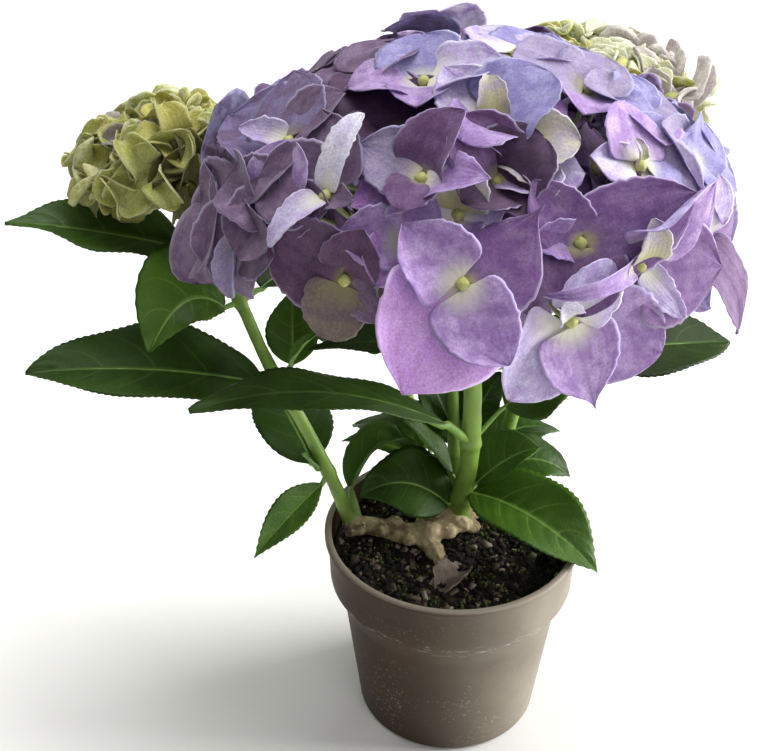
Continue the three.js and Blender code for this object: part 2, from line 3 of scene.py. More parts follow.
import bpy
import numpy as np
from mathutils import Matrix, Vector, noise


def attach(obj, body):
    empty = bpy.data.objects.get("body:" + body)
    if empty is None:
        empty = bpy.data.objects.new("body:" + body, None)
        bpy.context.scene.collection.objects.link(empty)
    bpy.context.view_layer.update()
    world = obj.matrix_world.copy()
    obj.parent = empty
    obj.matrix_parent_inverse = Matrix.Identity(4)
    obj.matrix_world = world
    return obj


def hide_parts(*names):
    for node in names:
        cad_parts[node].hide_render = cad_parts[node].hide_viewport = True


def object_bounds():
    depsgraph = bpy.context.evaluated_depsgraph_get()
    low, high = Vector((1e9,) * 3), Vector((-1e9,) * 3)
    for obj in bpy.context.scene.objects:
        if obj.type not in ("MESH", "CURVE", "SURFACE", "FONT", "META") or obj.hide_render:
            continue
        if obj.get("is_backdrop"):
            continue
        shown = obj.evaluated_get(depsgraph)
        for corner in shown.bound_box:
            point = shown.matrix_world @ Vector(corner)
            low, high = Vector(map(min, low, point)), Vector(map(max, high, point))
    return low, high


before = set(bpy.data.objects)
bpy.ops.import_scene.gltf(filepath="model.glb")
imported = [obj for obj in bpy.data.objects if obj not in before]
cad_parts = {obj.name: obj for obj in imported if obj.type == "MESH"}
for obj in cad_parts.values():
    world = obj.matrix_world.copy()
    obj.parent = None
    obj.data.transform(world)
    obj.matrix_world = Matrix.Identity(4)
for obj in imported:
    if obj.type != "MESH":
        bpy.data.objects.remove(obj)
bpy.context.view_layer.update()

# Potted hydrangea, dressed round the CAD frame. Places and sizes are in millimetres, as in the part's source,
# and go to metres as each mesh is made.
mm = 0.001
body = "root"
cellEdge = 0.06  # empty share of a cell on each side, in the map for baking


# Small helpers

def linear(hexColour):
    parts = [int(hexColour[i:i + 2], 16) / 255 for i in (1, 3, 5)]
    return tuple(c / 12.92 if c <= 0.04045 else ((c + 0.055) / 1.055) ** 2.4 for c in parts) + (1.0,)


def mix(a, b, t):
    return a + (b - a) * t


def clamp(value, low, high):
    return min(max(value, low), high)


def unit(v):
    v = np.asarray(v, float)
    return v / np.linalg.norm(v, axis=-1, keepdims=True)


def facing(azimuth, elevation):
    a, e = math.radians(azimuth), math.radians(elevation)
    return np.array([math.cos(e) * math.cos(a), math.cos(e) * math.sin(a), math.sin(e)])


# The plant's seeded rule, the same as in the part's source
def seeded(seed):
    state = seed

    def draw(low=0.0, high=1.0):
        nonlocal state
        state = (state * 1664525 + 1013904223) % 4294967296
        return mix(low, high, state / 4294967296)
    return draw


def smooth(x, low, high):
    t = np.clip((x - low) / (high - low), 0, 1)
    return t * t * (3 - 2 * t)


def onlySelect(*objects):
    bpy.ops.object.select_all(action="DESELECT")
    for item in objects:
        item.select_set(True)
    bpy.context.view_layer.objects.active = objects[0]


# Meshes from arrays. A part is its points, its four-cornered faces, a map corner for each face corner, a
# material number and an island number for each face.

def quadsOf(index):
    return np.stack([index[:-1, :-1], index[:-1, 1:], index[1:, 1:], index[1:, :-1]], -1).reshape(-1, 4)


# A thin closed body: an upper and an under skin that meet at the rim
def thinBody(points, thickness, slots):
    rows, cols = points.shape[:2]
    half = np.zeros((rows, cols))
    half[1:-1, 1:-1] = thickness / 2
    across = np.gradient(points, axis=1)
    along = np.gradient(points, axis=0)
    normal = np.cross(across, along)
    normal /= np.maximum(np.linalg.norm(normal, axis=-1, keepdims=True), 1e-9)
    upper = np.arange(rows * cols).reshape(rows, cols)
    under = upper.copy()
    under[1:-1, 1:-1] = rows * cols + np.arange((rows - 2) * (cols - 2)).reshape(rows - 2, cols - 2)
    shift = normal * half[..., None]
    skin = np.concatenate([(points + shift).reshape(-1, 3), (points - shift)[1:-1, 1:-1].reshape(-1, 3)])
    v, u = np.meshgrid(np.linspace(0, 1, rows), np.linspace(0, 1, cols), indexing="ij")
    corners = np.stack([u, v], -1).reshape(-1, 2)[quadsOf(upper)]
    faces = np.concatenate([quadsOf(upper), quadsOf(under)[:, ::-1]])
    count = len(corners)
    return {
        "points": skin, "faces": faces, "corners": np.concatenate([corners, corners[:, ::-1]]),
        "slots": np.repeat(slots, count), "islands": np.repeat([0, 1], count),
    }


# A round limb along points, closed at both ends. Its ring may swell in four lobes, by a share of its radius.
def tube(points, radii, sides=6, slot=0, lobes=0.0, up=(0.0, 0.0, 1.0)):
    points, radii = np.asarray(points, float), np.asarray(radii, float)
    count = len(points)
    along = unit(np.gradient(points, axis=0))
    side = np.cross(along[0], up)
    if np.linalg.norm(side) < 0.2:
        side = np.cross(along[0], (0.0, 1.0, 0.0))
    side = unit(side)
    angles = 2 * np.pi * np.arange(sides) / sides
    swell = 1 + lobes * np.cos(4 * angles)
    rings = np.empty((count, sides, 3))
    for k in range(count):
        side = unit(side - along[k] * side.dot(along[k]))
        other = np.cross(along[k], side)
        reach = radii[k] * swell
        rings[k] = points[k] + np.outer(reach * np.cos(angles), side)
        rings[k] += np.outer(reach * np.sin(angles), other)
    index = np.arange(count * sides).reshape(count, sides)
    sleeve = quadsOf(np.concatenate([index, index[:, :1]], axis=1))
    v, u = np.meshgrid(np.linspace(0, 1, count), np.linspace(0, 1, sides + 1), indexing="ij")
    flat = np.arange(v.size).reshape(v.shape)
    corners = np.stack([u, v], -1).reshape(-1, 2)[quadsOf(flat)]
    strip = np.array([[i, i + 1, sides - 2 - i, sides - 1 - i] for i in range(sides // 2 - 1)])
    low, high = strip[:, ::-1], strip + (count - 1) * sides
    caps = np.concatenate([low, high])
    capCorners = np.stack([caps % sides / sides, caps // sides / (count - 1) * 0.98 + 0.01], -1)
    faces = np.concatenate([sleeve, caps])
    return {
        "points": rings.reshape(-1, 3), "faces": faces, "corners": np.concatenate([corners, capCorners]),
        "slots": np.full(len(faces), slot), "islands": np.zeros(len(faces), int),
    }


# Joins parts into one piece. Its map for baking gives each island a cell of its own in a square grid.
def makePiece(name, parts, materials, nodes):
    points, faces, corners, slots, places = [], [], [], [], []
    start = island = 0
    total = sum(part["islands"].max() + 1 for part in parts)
    cells = math.ceil(math.sqrt(total))
    for part in parts:
        points.append(part["points"])
        faces.append(part["faces"] + start)
        corners.append(part["corners"])
        slots.append(part["slots"])
        cell = part["islands"] + island
        origin = np.stack([cell % cells, cell // cells], -1)[:, None, :]
        places.append((origin + cellEdge + part["corners"] * (1 - 2 * cellEdge)) / cells)
        start += len(part["points"])
        island += part["islands"].max() + 1
    points = np.concatenate(points) * mm
    faces = np.concatenate(faces)
    mesh = bpy.data.meshes.new(name)
    mesh.vertices.add(len(points))
    mesh.vertices.foreach_set("co", points.ravel())
    mesh.loops.add(faces.size)
    mesh.loops.foreach_set("vertex_index", faces.ravel())
    mesh.polygons.add(len(faces))
    mesh.polygons.foreach_set("loop_start", np.arange(len(faces)) * 4)
    mesh.polygons.foreach_set("material_index", np.concatenate(slots))
    mesh.polygons.foreach_set("use_smooth", np.ones(len(faces), bool))
    mesh.update(calc_edges=True)
    mesh.uv_layers.new(name="surface").data.foreach_set("uv", np.concatenate(corners).ravel())
    mesh.uv_layers.new(name="OFBake").data.foreach_set("uv", np.concatenate(places).ravel())
    for material in materials:
        mesh.materials.append(material)
    piece = bpy.data.objects.new(name, mesh)
    bpy.context.collection.objects.link(piece)
    finishPiece(piece, nodes)


def finishPiece(piece, nodes):
    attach(piece, body)
    if nodes:
        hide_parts(*nodes)


# A smooth path through rows of numbers, each stretch cut into steps
def smoothPath(rows, steps):
    rows = np.asarray(rows, float)
    padded = np.concatenate([2 * rows[:1] - rows[1:2], rows, 2 * rows[-1:] - rows[-2:-1]])
    out = []
    for k in range(len(rows) - 1):
        a, b, c, d = padded[k:k + 4]
        for t in np.arange(steps) / steps:
            out.append(0.5 * (2 * b + (c - a) * t + (2 * a - 5 * b + 4 * c - d) * t ** 2
                              + (3 * b - a - 3 * c + d) * t ** 3))
    return np.array(out + [rows[-1]])


# Materials

# Adds a node with its settings, its input values and what feeds it: a socket, or a node by its first output
# in use
def addNode(tree, kind, values=None, links=None, **settings):
    node = tree.nodes.new("ShaderNode" + kind)
    for key, value in settings.items():
        setattr(node, key, value)
    for key, value in (values or {}).items():
        node.inputs[key].default_value = value
    for key, source in (links or {}).items():
        if isinstance(source, bpy.types.Node):
            source = next(socket for socket in source.outputs if socket.enabled)
        tree.links.new(source, node.inputs[key])
    return node


def newMaterial(name):
    material = bpy.data.materials.new(name)
    material.use_nodes = True
    material.node_tree.nodes.clear()
    return material, material.node_tree


# Sepal: papery, matt petal tissue. It shows a cream halo round the eye, fine fan veins, a pale rim and a
# mottled grain, and lets some light through. The pale rim is partly the tissue's own pale margin and partly
# a painted highlight where the margins roll and catch light. Its colours are a tint's, as listed with the
# flower heads.
sepalLook = {
    "patchSize": 6 * mm, "blotchSize": 0.9 * mm, "grainSize": 0.6 * mm, "fanVeins": 10,
    "veinDepth": 0.07 * mm, "rimHighlightWidth": 0.10, "roughness": 0.6, "sheen": 0.2, "gloss": 0.3, "through": 0.3,
}


def sepalMaterial(name, colours, back=False):
    look = sepalLook
    ground, patches, halo, edge, haloReach = colours
    material, tree = newMaterial(name)
    place = addNode(tree, "TexCoord").outputs["Object"]
    surface = addNode(tree, "UVMap", uv_map="surface")
    part = addNode(tree, "SeparateXYZ", links={"Vector": surface})
    across, along = part.outputs["X"], part.outputs["Y"]
    patch = addNode(tree, "TexNoise", {"Scale": 1 / look["patchSize"], "Detail": 2.0}, {"Vector": place})
    grain = addNode(tree, "TexNoise", {"Scale": 1 / look["grainSize"], "Detail": 3.0}, {"Vector": place})
    patchShare = addNode(tree, "MapRange", {"From Min": 0.40, "From Max": 0.62}, {"Value": patch})
    tissue = addNode(tree, "Mix", {"A": linear(ground), "B": linear(patches)}, {"Factor": patchShare},
                     data_type="RGBA")
    # Fan veins run along lines of the same share across, a little crooked
    bent = addNode(tree, "Math", {1: 0.12}, {0: patch, 2: across}, operation="MULTIPLY_ADD")
    phase = addNode(tree, "Math", {1: look["fanVeins"] * 2 * math.pi}, {0: bent}, operation="MULTIPLY")
    fan = addNode(tree, "Math", {}, {0: phase}, operation="SINE")
    fanShade = addNode(tree, "MapRange", {"From Min": -1.0, "From Max": 1.0, "To Min": 0.965, "To Max": 1.03},
                       {"Value": fan})
    # Blotches and grain of the tissue
    blotch = addNode(tree, "TexNoise", {"Scale": 1 / look["blotchSize"], "Detail": 3.0}, {"Vector": place})
    blotchShade = addNode(tree, "MapRange",
                          {"From Min": 0.36, "From Max": 0.62, "To Min": 0.85, "To Max": 1.11},
                          {"Value": blotch})
    grainShade = addNode(tree, "MapRange", {"From Min": 0.3, "From Max": 0.7, "To Min": 0.87, "To Max": 1.12},
                         {"Value": grain})
    fine = addNode(tree, "Math", {}, {0: fanShade, 1: grainShade}, operation="MULTIPLY")
    shade = addNode(tree, "Math", {}, {0: fine, 1: blotchShade}, operation="MULTIPLY")
    shaded = addNode(tree, "VectorMath", {}, {0: tissue, "Scale": shade}, operation="SCALE")
    # Cream halo round the eye: by the distance from the sepal's foot
    off = addNode(tree, "Math", {1: 0.5}, {0: across}, operation="SUBTRACT")
    away = addNode(tree, "Math", {}, {0: off}, operation="ABSOLUTE")
    opened = addNode(tree, "MapRange", {"From Max": 0.14, "To Max": 0.95}, {"Value": along})
    wide = addNode(tree, "Math", {}, {0: away, 1: opened}, operation="MULTIPLY")
    spot = addNode(tree, "CombineXYZ", {}, {"X": along, "Y": wide})
    reach = addNode(tree, "VectorMath", {}, {0: spot}, operation="LENGTH")
    uneven = addNode(tree, "Math", {1: 0.16, 2: -0.08}, {0: patch}, operation="MULTIPLY_ADD")
    far = addNode(tree, "Math", {}, {0: reach, 1: uneven}, operation="ADD")
    eye = addNode(tree, "MapRange", {"From Min": haloReach, "From Max": haloReach * 0.2, "To Max": 0.92},
                  {"Value": far}, interpolation_type="SMOOTHSTEP")
    haloed = addNode(tree, "Mix", {"B": linear(halo)}, {"Factor": eye, "A": shaded}, data_type="RGBA")
    # Pale rim: partly the tissue's own margin, partly a painted highlight where it rolls and catches light
    rim = addNode(tree, "MapRange", {"From Min": 0.5 - look["rimHighlightWidth"] / 2, "From Max": 0.5, "To Max": 0.9},
                  {"Value": away}, interpolation_type="SMOOTHSTEP")
    rimHighlighted = addNode(tree, "Mix", {"B": linear(edge)}, {"Factor": rim, "A": haloed}, data_type="RGBA")
    relief = addNode(tree, "Math", {1: 0.6}, {0: fan, 2: grain}, operation="MULTIPLY_ADD")
    bump = addNode(tree, "Bump", {"Distance": look["veinDepth"], "Strength": 0.7}, {"Height": relief},
                   invert=back)
    skin = addNode(tree, "BsdfPrincipled",
                   {"Roughness": look["roughness"], "Sheen Weight": look["sheen"],
                    "Specular IOR Level": look["gloss"]},
                   {"Base Color": rimHighlighted, "Normal": bump})
    glow = addNode(tree, "BsdfTranslucent", {}, {"Color": rimHighlighted})
    both = addNode(tree, "MixShader", {0: look["through"]}, {1: skin, 2: glow})
    addNode(tree, "OutputMaterial", {}, {"Surface": both})
    return material


# Leaf blade: satin and hairless, with a pale midrib, pale side veins and a fine net of veins between them
leafLook = {
    "sideVeins": 9, "veinSlant": 0.16, "veinBow": 0.10, "netSize": 2.4 * mm, "patchSize": 14 * mm,
    "grainSize": 0.6 * mm, "through": 0.12,
}


def leafMaterial(name, base, shade, vein, roughness, back=False):
    look = leafLook
    material, tree = newMaterial(name)
    place = addNode(tree, "TexCoord").outputs["Object"]
    surface = addNode(tree, "UVMap", uv_map="surface")
    part = addNode(tree, "SeparateXYZ", links={"Vector": surface})
    along = part.outputs["Y"]
    off = addNode(tree, "Math", {1: 0.5}, {0: part.outputs["X"]}, operation="SUBTRACT")
    away = addNode(tree, "Math", {}, {0: off}, operation="ABSOLUTE")
    # Side veins: the same curve as in the mesh, where the margin is at 1, while here it is at 0.5
    slant = addNode(tree, "Math", {1: 4 * look["veinBow"], 2: 2 * look["veinSlant"]}, {0: away},
                    operation="MULTIPLY_ADD")
    lag = addNode(tree, "Math", {}, {0: slant, 1: away}, operation="MULTIPLY")
    level = addNode(tree, "Math", {}, {0: along, 1: lag}, operation="SUBTRACT")
    count = addNode(tree, "Math", {1: look["sideVeins"]}, {0: level}, operation="MULTIPLY")
    saw = addNode(tree, "Math", {1: 1.0}, {0: count}, operation="PINGPONG")
    side = addNode(tree, "MapRange", {"From Min": 0.10, "From Max": 0.015, "To Max": 0.45}, {"Value": saw},
                   interpolation_type="SMOOTHSTEP")
    fade = addNode(tree, "MapRange", {"From Min": 0.46, "From Max": 0.2}, {"Value": away})
    sideFaded = addNode(tree, "Math", {}, {0: side, 1: fade}, operation="MULTIPLY")
    midrib = addNode(tree, "MapRange", {"From Min": 0.03, "From Max": 0.010, "To Max": 0.75}, {"Value": away},
                     interpolation_type="SMOOTHSTEP")
    veins = addNode(tree, "Math", {}, {0: sideFaded, 1: midrib}, operation="MAXIMUM")
    net = addNode(tree, "TexVoronoi", {"Scale": 1 / look["netSize"]}, {"Vector": place},
                  feature="DISTANCE_TO_EDGE")
    netLine = addNode(tree, "MapRange", {"From Max": 0.16}, {"Value": net})
    patch = addNode(tree, "TexNoise", {"Scale": 1 / look["patchSize"], "Detail": 3.0}, {"Vector": place})
    grain = addNode(tree, "TexNoise", {"Scale": 1 / look["grainSize"], "Detail": 2.0}, {"Vector": place})
    share = addNode(tree, "MapRange", {"From Min": 0.32, "From Max": 0.68}, {"Value": patch})
    green = addNode(tree, "Mix", {"A": linear(base), "B": linear(shade)}, {"Factor": share}, data_type="RGBA")
    grainShade = addNode(tree, "MapRange", {"From Min": 0.3, "From Max": 0.7, "To Min": 0.84, "To Max": 1.12},
                         {"Value": grain})
    netShade = addNode(tree, "MapRange", {"To Min": 1.07, "To Max": 0.99}, {"Value": netLine})
    fine = addNode(tree, "Math", {}, {0: grainShade, 1: netShade}, operation="MULTIPLY")
    shaded = addNode(tree, "VectorMath", {}, {0: green, "Scale": fine}, operation="SCALE")
    veined = addNode(tree, "Mix", {"B": linear(vein)}, {"Factor": veins, "A": shaded}, data_type="RGBA")
    height = addNode(tree, "Math", {1: 0.5}, {0: netLine, 2: grain}, operation="MULTIPLY_ADD")
    bump = addNode(tree, "Bump", {"Distance": 0.2 * mm, "Strength": 0.5}, {"Height": height}, invert=back)
    skin = addNode(tree, "BsdfPrincipled", {"Roughness": roughness, "Specular IOR Level": 0.3},
                   {"Base Color": veined, "Normal": bump})
    glow = addNode(tree, "BsdfTranslucent", {}, {"Color": veined})
    both = addNode(tree, "MixShader", {0: look["through"]}, {1: skin, 2: glow})
    addNode(tree, "OutputMaterial", {}, {"Surface": both})
    return material


# Mottled: a matt or satin surface of two colours in patches, with specks and a grain. Its sizes are those of
# the patches, the specks and the grain.
def mottledMaterial(name, base, shade, speck, sizes, roughness, bumpDepth=0.1 * mm, speckShare=0.3,
                    stretch=(1.0, 1.0, 1.0)):
    material, tree = newMaterial(name)
    place = addNode(tree, "TexCoord").outputs["Object"]
    drawn = addNode(tree, "Mapping", {"Scale": stretch}, {"Vector": place})
    patch = addNode(tree, "TexNoise", {"Scale": 1 / sizes[0], "Detail": 4.0}, {"Vector": drawn})
    share = addNode(tree, "MapRange", {"From Min": 0.35, "From Max": 0.65}, {"Value": patch})
    ground = addNode(tree, "Mix", {"A": linear(base), "B": linear(shade)}, {"Factor": share}, data_type="RGBA")
    spots = addNode(tree, "TexVoronoi", {"Scale": 1 / sizes[1]}, {"Vector": drawn})
    spot = addNode(tree, "MapRange", {"From Min": speckShare, "From Max": speckShare * 0.6, "To Max": 0.8},
                   {"Value": spots}, interpolation_type="SMOOTHSTEP")
    some = addNode(tree, "MapRange", {"From Min": 0.45, "From Max": 0.6}, {"Value": patch})
    chosen = addNode(tree, "Math", {}, {0: spot, 1: some}, operation="MULTIPLY")
    specked = addNode(tree, "Mix", {"B": linear(speck)}, {"Factor": chosen, "A": ground}, data_type="RGBA")
    grain = addNode(tree, "TexNoise", {"Scale": 1 / sizes[2], "Detail": 3.0}, {"Vector": drawn})
    bump = addNode(tree, "Bump", {"Distance": bumpDepth, "Strength": 0.8}, {"Height": grain})
    skin = addNode(tree, "BsdfPrincipled", {"Roughness": roughness, "Specular IOR Level": 0.4},
                   {"Base Color": specked, "Normal": bump})
    addNode(tree, "OutputMaterial", {}, {"Surface": skin})
    return material


print("frame loaded", len(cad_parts), "nodes")

# Camera and lights

# Place, tilt up from straight down (degrees), and lens, as fitted to the pot's ellipses
camera = {"place": (-34.6, -481.0, 488.2), "pitch": 57.94, "lens": 61.82, "sensor": 36.0, "near": 0.01}
bpy.ops.object.camera_add(location=[c * mm for c in camera["place"]],
                          rotation=(math.radians(camera["pitch"]), 0, 0))
viewer = bpy.context.object
viewer.data.sensor_width = camera["sensor"]
viewer.data.lens = camera["lens"]
viewer.data.clip_start = camera["near"]
bpy.context.scene.camera = viewer

# name: azimuth, elevation, distance (m), size (m), watts
lights = {
    "topLight": (60, 78, 2.4, 2.0, 70),
    "keyLight": (7, 17, 2.3, 1.4, 96),
    "fillLight": (-70, 36, 2.6, 2.0, 17),
    "backLight": (145, 35, 2.8, 2.0, 18),
}
lightTarget = np.array([0, 0, 0.2])
for name, (azimuth, elevation, distance, size, power) in lights.items():
    bpy.ops.object.light_add(type="AREA", location=lightTarget + facing(azimuth, elevation) * distance)
    lamp = bpy.context.object
    lamp.name = name
    lamp.data.size = size
    lamp.data.energy = power
    lamp.rotation_euler = (math.radians(90 - elevation), 0, math.radians(azimuth + 90))
surround = {"colour": "#f4f3f0", "strength": 0.10}
world = bpy.data.worlds.new("studio")
bpy.context.scene.world = world
world.use_nodes = True
background = world.node_tree.nodes["Background"]
background.inputs["Color"].default_value = linear(surround["colour"])
background.inputs["Strength"].default_value = surround["strength"]
bpy.context.scene.view_settings.view_transform = "Standard"

bpy.ops.object.select_all(action="DESELECT")
bpy.ops.mesh.primitive_plane_add(size=12)
floor = bpy.context.object
floor.name = "floor"
# Paper floor: matt, near white, with only a faint unevenness
floor.data.materials.append(mottledMaterial("matt_paper_floor", "#f2f1ee", "#efeeeb", "#ecebe8",
                                            (0.4, 0.3, 2 * mm), 0.9, 0.0, 0.1))
floor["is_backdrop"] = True
print("camera, lights and floor")

# Pot

pot = {
    "height": 103, "rim": 60, "collar": (57.6, 78), "shoulder": (51.2, 64), "foot": 43.8, "footRound": 3,
    "lip": 1.6, "lipDepth": 3, "wall": 1.8, "sides": 128, "smoothBelow": 50,
}


# Turns a ring of edges up a profile of radii and heights, as by extruding and scaling a circle
def raiseRing(radius, profile):
    height = profile[0][1]
    for nextRadius, nextHeight in profile[1:]:
        bpy.ops.mesh.extrude_edges_move()
        bpy.ops.transform.translate(value=(0, 0, (nextHeight - height) * mm))
        grow = nextRadius / radius
        bpy.ops.transform.resize(value=(grow, grow, 1))
        radius, height = nextRadius, nextHeight


# Closes the rings that are still open and turns the faces outward, in edit mode
def closeEnds():
    bpy.ops.mesh.fill()
    bpy.ops.mesh.select_all(action="DESELECT")
    bpy.ops.mesh.select_non_manifold()
    bpy.ops.mesh.fill()
    bpy.ops.mesh.select_all(action="SELECT")
    bpy.ops.mesh.normals_make_consistent(inside=False)


def arcPoints(middleR, middleZ, radius, start, end, steps):
    angles = np.radians(np.linspace(start, end, steps + 1))
    return [(middleR + radius * math.cos(a), middleZ + radius * math.sin(a)) for a in angles]


# The pot's outline from its underside up, over the lip and down inside to its floor. Small steps round its
# corners.
def potProfile():
    p = pot
    shoulderR, shoulderZ = p["shoulder"]
    collarR, collarZ = p["collar"]
    under = p["rim"] - p["lip"]
    lipZ = p["height"] - p["lipDepth"]
    outside = [(p["foot"] - p["footRound"] - 6, 0.0), (p["foot"] - p["footRound"], 0.0)]
    outside += arcPoints(p["foot"] - p["footRound"], p["footRound"], p["footRound"], -78, 0, 5)
    for share in (0.02, 0.3, 0.6, 0.96):
        outside.append((mix(p["foot"], shoulderR, share), mix(p["footRound"], shoulderZ, share)))
    outside += [(shoulderR + 0.25, shoulderZ + 0.5), (shoulderR + 1.0, shoulderZ + 2.4)]
    outside += [(collarR - 1.0, collarZ - 1.9), (collarR - 0.15, collarZ - 0.4)]
    outside += [(collarR + 0.05, collarZ + 0.7)]
    outside += [(mix(collarR, under, 0.5), mix(collarZ, lipZ, 0.5)), (under - 0.1, lipZ - 0.7)]
    outside += [(under + 0.3, lipZ - 0.1), (p["rim"] - 0.5, lipZ), (p["rim"] - 0.05, lipZ + 0.5)]
    outside += [(p["rim"], p["height"] - 0.9), (p["rim"] - 0.35, p["height"] - 0.2)]
    outside += [(p["rim"] - 1.0, p["height"])]
    wall = p["wall"]
    inner = under - wall
    inside = [(inner + 0.9, p["height"]), (inner + 0.25, p["height"] - 0.3), (inner, p["height"] - 1.0)]
    inside += [(collarR - wall, collarZ), (shoulderR - wall, shoulderZ)]
    inside += [(p["foot"] - wall, wall + 2.0), (p["foot"] - wall - 1.5, wall)]
    return outside + inside


# Pot: thin injection-moulded polypropylene, taupe. It shows a soft low gloss, a fine moulding grain, painted
# light that makes its right side paler, a painted highlight along the lip's top edge, pale scuffs along its
# shoulder and a dust of specks low down.
potLook = {
    # Among these: a paler colour and its span towards +x, painted light; a pale lip colour, a painted highlight
    "base": "#322313", "shade": "#402f1d", "paintedLightColour": "#9b9283", "rubbedAndLipHighlight": "#9d9385", "dust": "#cfc9bf",
    "scuff": "#d3cdc3", "cloudSize": 38 * mm, "dustSize": 1.3 * mm, "dustPatch": 22 * mm, "scuffSize": 3.2 * mm,
    "grainSize": 0.7 * mm, "grainDepth": 0.04 * mm, "ior": 1.49, "gloss": 0.25,
    "paintedLightRamp": (-26 * mm, 54 * mm), "dustFrom": 62 * mm, "dustFull": 20 * mm,
    "scuffDrop": 1.5, "scuffReach": (4.5 * mm, 0.5 * mm),
}


def potMaterial():
    look = potLook
    material, tree = newMaterial("moulded_polypropylene_taupe")
    place = addNode(tree, "TexCoord").outputs["Object"]
    part = addNode(tree, "SeparateXYZ", links={"Vector": place})
    cloud = addNode(tree, "TexNoise", {"Scale": 1 / look["cloudSize"], "Detail": 4.0}, {"Vector": place})
    share = addNode(tree, "MapRange", {"From Min": 0.35, "From Max": 0.68}, {"Value": cloud})
    ground = addNode(tree, "Mix", {"A": linear(look["base"]), "B": linear(look["shade"])}, {"Factor": share},
                     data_type="RGBA")
    # Painted light: paler towards +x, the side the key light falls on, unevenly by the cloud noise
    start, full = look["paintedLightRamp"]
    paintedLightRamp = addNode(tree, "MapRange", {"From Min": start, "From Max": full, "To Max": 0.92},
                    {"Value": part.outputs["X"]}, interpolation_type="SMOOTHSTEP")
    paintedLightVariation = addNode(tree, "MapRange", {"From Min": 0.3, "From Max": 0.7, "To Min": 0.7, "To Max": 1.1},
                         {"Value": cloud})
    paintedLightMask = addNode(tree, "Math", {}, {0: paintedLightRamp, 1: paintedLightVariation}, operation="MULTIPLY")
    paintedLightMixed = addNode(tree, "Mix", {"B": linear(look["paintedLightColour"])}, {"Factor": paintedLightMask, "A": ground},
                    data_type="RGBA")
    # Painted highlight: a pale band along the lip's top edge
    top = pot["height"]
    edge = addNode(tree, "MapRange",
                   {"From Min": (top - 0.9) * mm, "From Max": (top - 0.3) * mm, "To Max": 0.75},
                   {"Value": part.outputs["Z"]})
    lipHighlighted = addNode(tree, "Mix", {"B": linear(look["rubbedAndLipHighlight"])}, {"Factor": edge, "A": paintedLightMixed}, data_type="RGBA")
    # Specks of dried splash, mostly low
    specks = addNode(tree, "TexNoise", {"Scale": 1 / look["dustSize"], "Detail": 3.0, "Roughness": 0.7},
                     {"Vector": place})
    speck = addNode(tree, "MapRange", {"From Min": 0.60, "From Max": 0.70, "To Max": 0.75}, {"Value": specks})
    wide = addNode(tree, "TexNoise", {"Scale": 1 / look["dustPatch"], "Detail": 2.0}, {"Vector": place})
    where = addNode(tree, "MapRange", {"From Min": 0.42, "From Max": 0.66}, {"Value": wide})
    low = addNode(tree, "MapRange",
                  {"From Min": look["dustFrom"], "From Max": look["dustFull"], "To Min": 0.25},
                  {"Value": part.outputs["Z"]})
    dusted = addNode(tree, "Math", {}, {0: speck, 1: where}, operation="MULTIPLY")
    dust = addNode(tree, "Math", {}, {0: dusted, 1: low}, operation="MULTIPLY")
    dusty = addNode(tree, "Mix", {"B": linear(look["dust"])}, {"Factor": dust, "A": lipHighlighted}, data_type="RGBA")
    # Scuffs: a pale broken line where the shoulder rubs its neighbours
    scuffHeight = (pot["collar"][1] - look["scuffDrop"]) * mm
    level = addNode(tree, "Math", {1: -scuffHeight}, {0: part.outputs["Z"]}, operation="ADD")
    far = addNode(tree, "Math", {}, {0: level}, operation="ABSOLUTE")
    none, whole = look["scuffReach"]
    line = addNode(tree, "MapRange", {"From Min": none, "From Max": whole}, {"Value": far})
    rub = addNode(tree, "TexNoise", {"Scale": 1 / look["scuffSize"], "Detail": 5.0, "Roughness": 0.75},
                  {"Vector": addNode(tree, "Mapping", {"Scale": (0.35, 0.35, 1.6)}, {"Vector": place})})
    rubbedAndLipHighlight = addNode(tree, "MapRange", {"From Min": 0.54, "From Max": 0.68}, {"Value": rub})
    scuffs = addNode(tree, "Math", {}, {0: line, 1: rubbedAndLipHighlight}, operation="MULTIPLY")
    scuffed = addNode(tree, "Mix", {"B": linear(look["scuff"])}, {"Factor": scuffs, "A": dusty},
                      data_type="RGBA")
    grain = addNode(tree, "TexNoise", {"Scale": 1 / look["grainSize"], "Detail": 2.0}, {"Vector": place})
    bump = addNode(tree, "Bump", {"Distance": look["grainDepth"], "Strength": 0.6}, {"Height": grain})
    roughness = addNode(tree, "MapRange", {"To Min": 0.46, "To Max": 0.62}, {"Value": cloud})
    skin = addNode(tree, "BsdfPrincipled", {"IOR": look["ior"], "Specular IOR Level": look["gloss"]},
                   {"Base Color": scuffed, "Normal": bump, "Roughness": roughness})
    addNode(tree, "OutputMaterial", {}, {"Surface": skin})
    return material


def buildPot():
    profile = potProfile()
    bpy.ops.object.select_all(action="DESELECT")
    bpy.ops.mesh.primitive_circle_add(vertices=pot["sides"], radius=profile[0][0] * mm, location=(0, 0, 0))
    piece = bpy.context.object
    piece.name = "pot_shell"
    bpy.ops.object.mode_set(mode="EDIT")
    bpy.ops.mesh.select_all(action="SELECT")
    raiseRing(profile[0][0], profile)
    closeEnds()
    bpy.ops.object.mode_set(mode="OBJECT")
    bpy.ops.object.shade_smooth_by_angle(angle=math.radians(pot["smoothBelow"]))
    piece.data.materials.append(potMaterial())
    finishPiece(piece, ["pot"])


buildPot()
print("pot")

# Potting soil: peat with bark chips, crumbs and a little moss

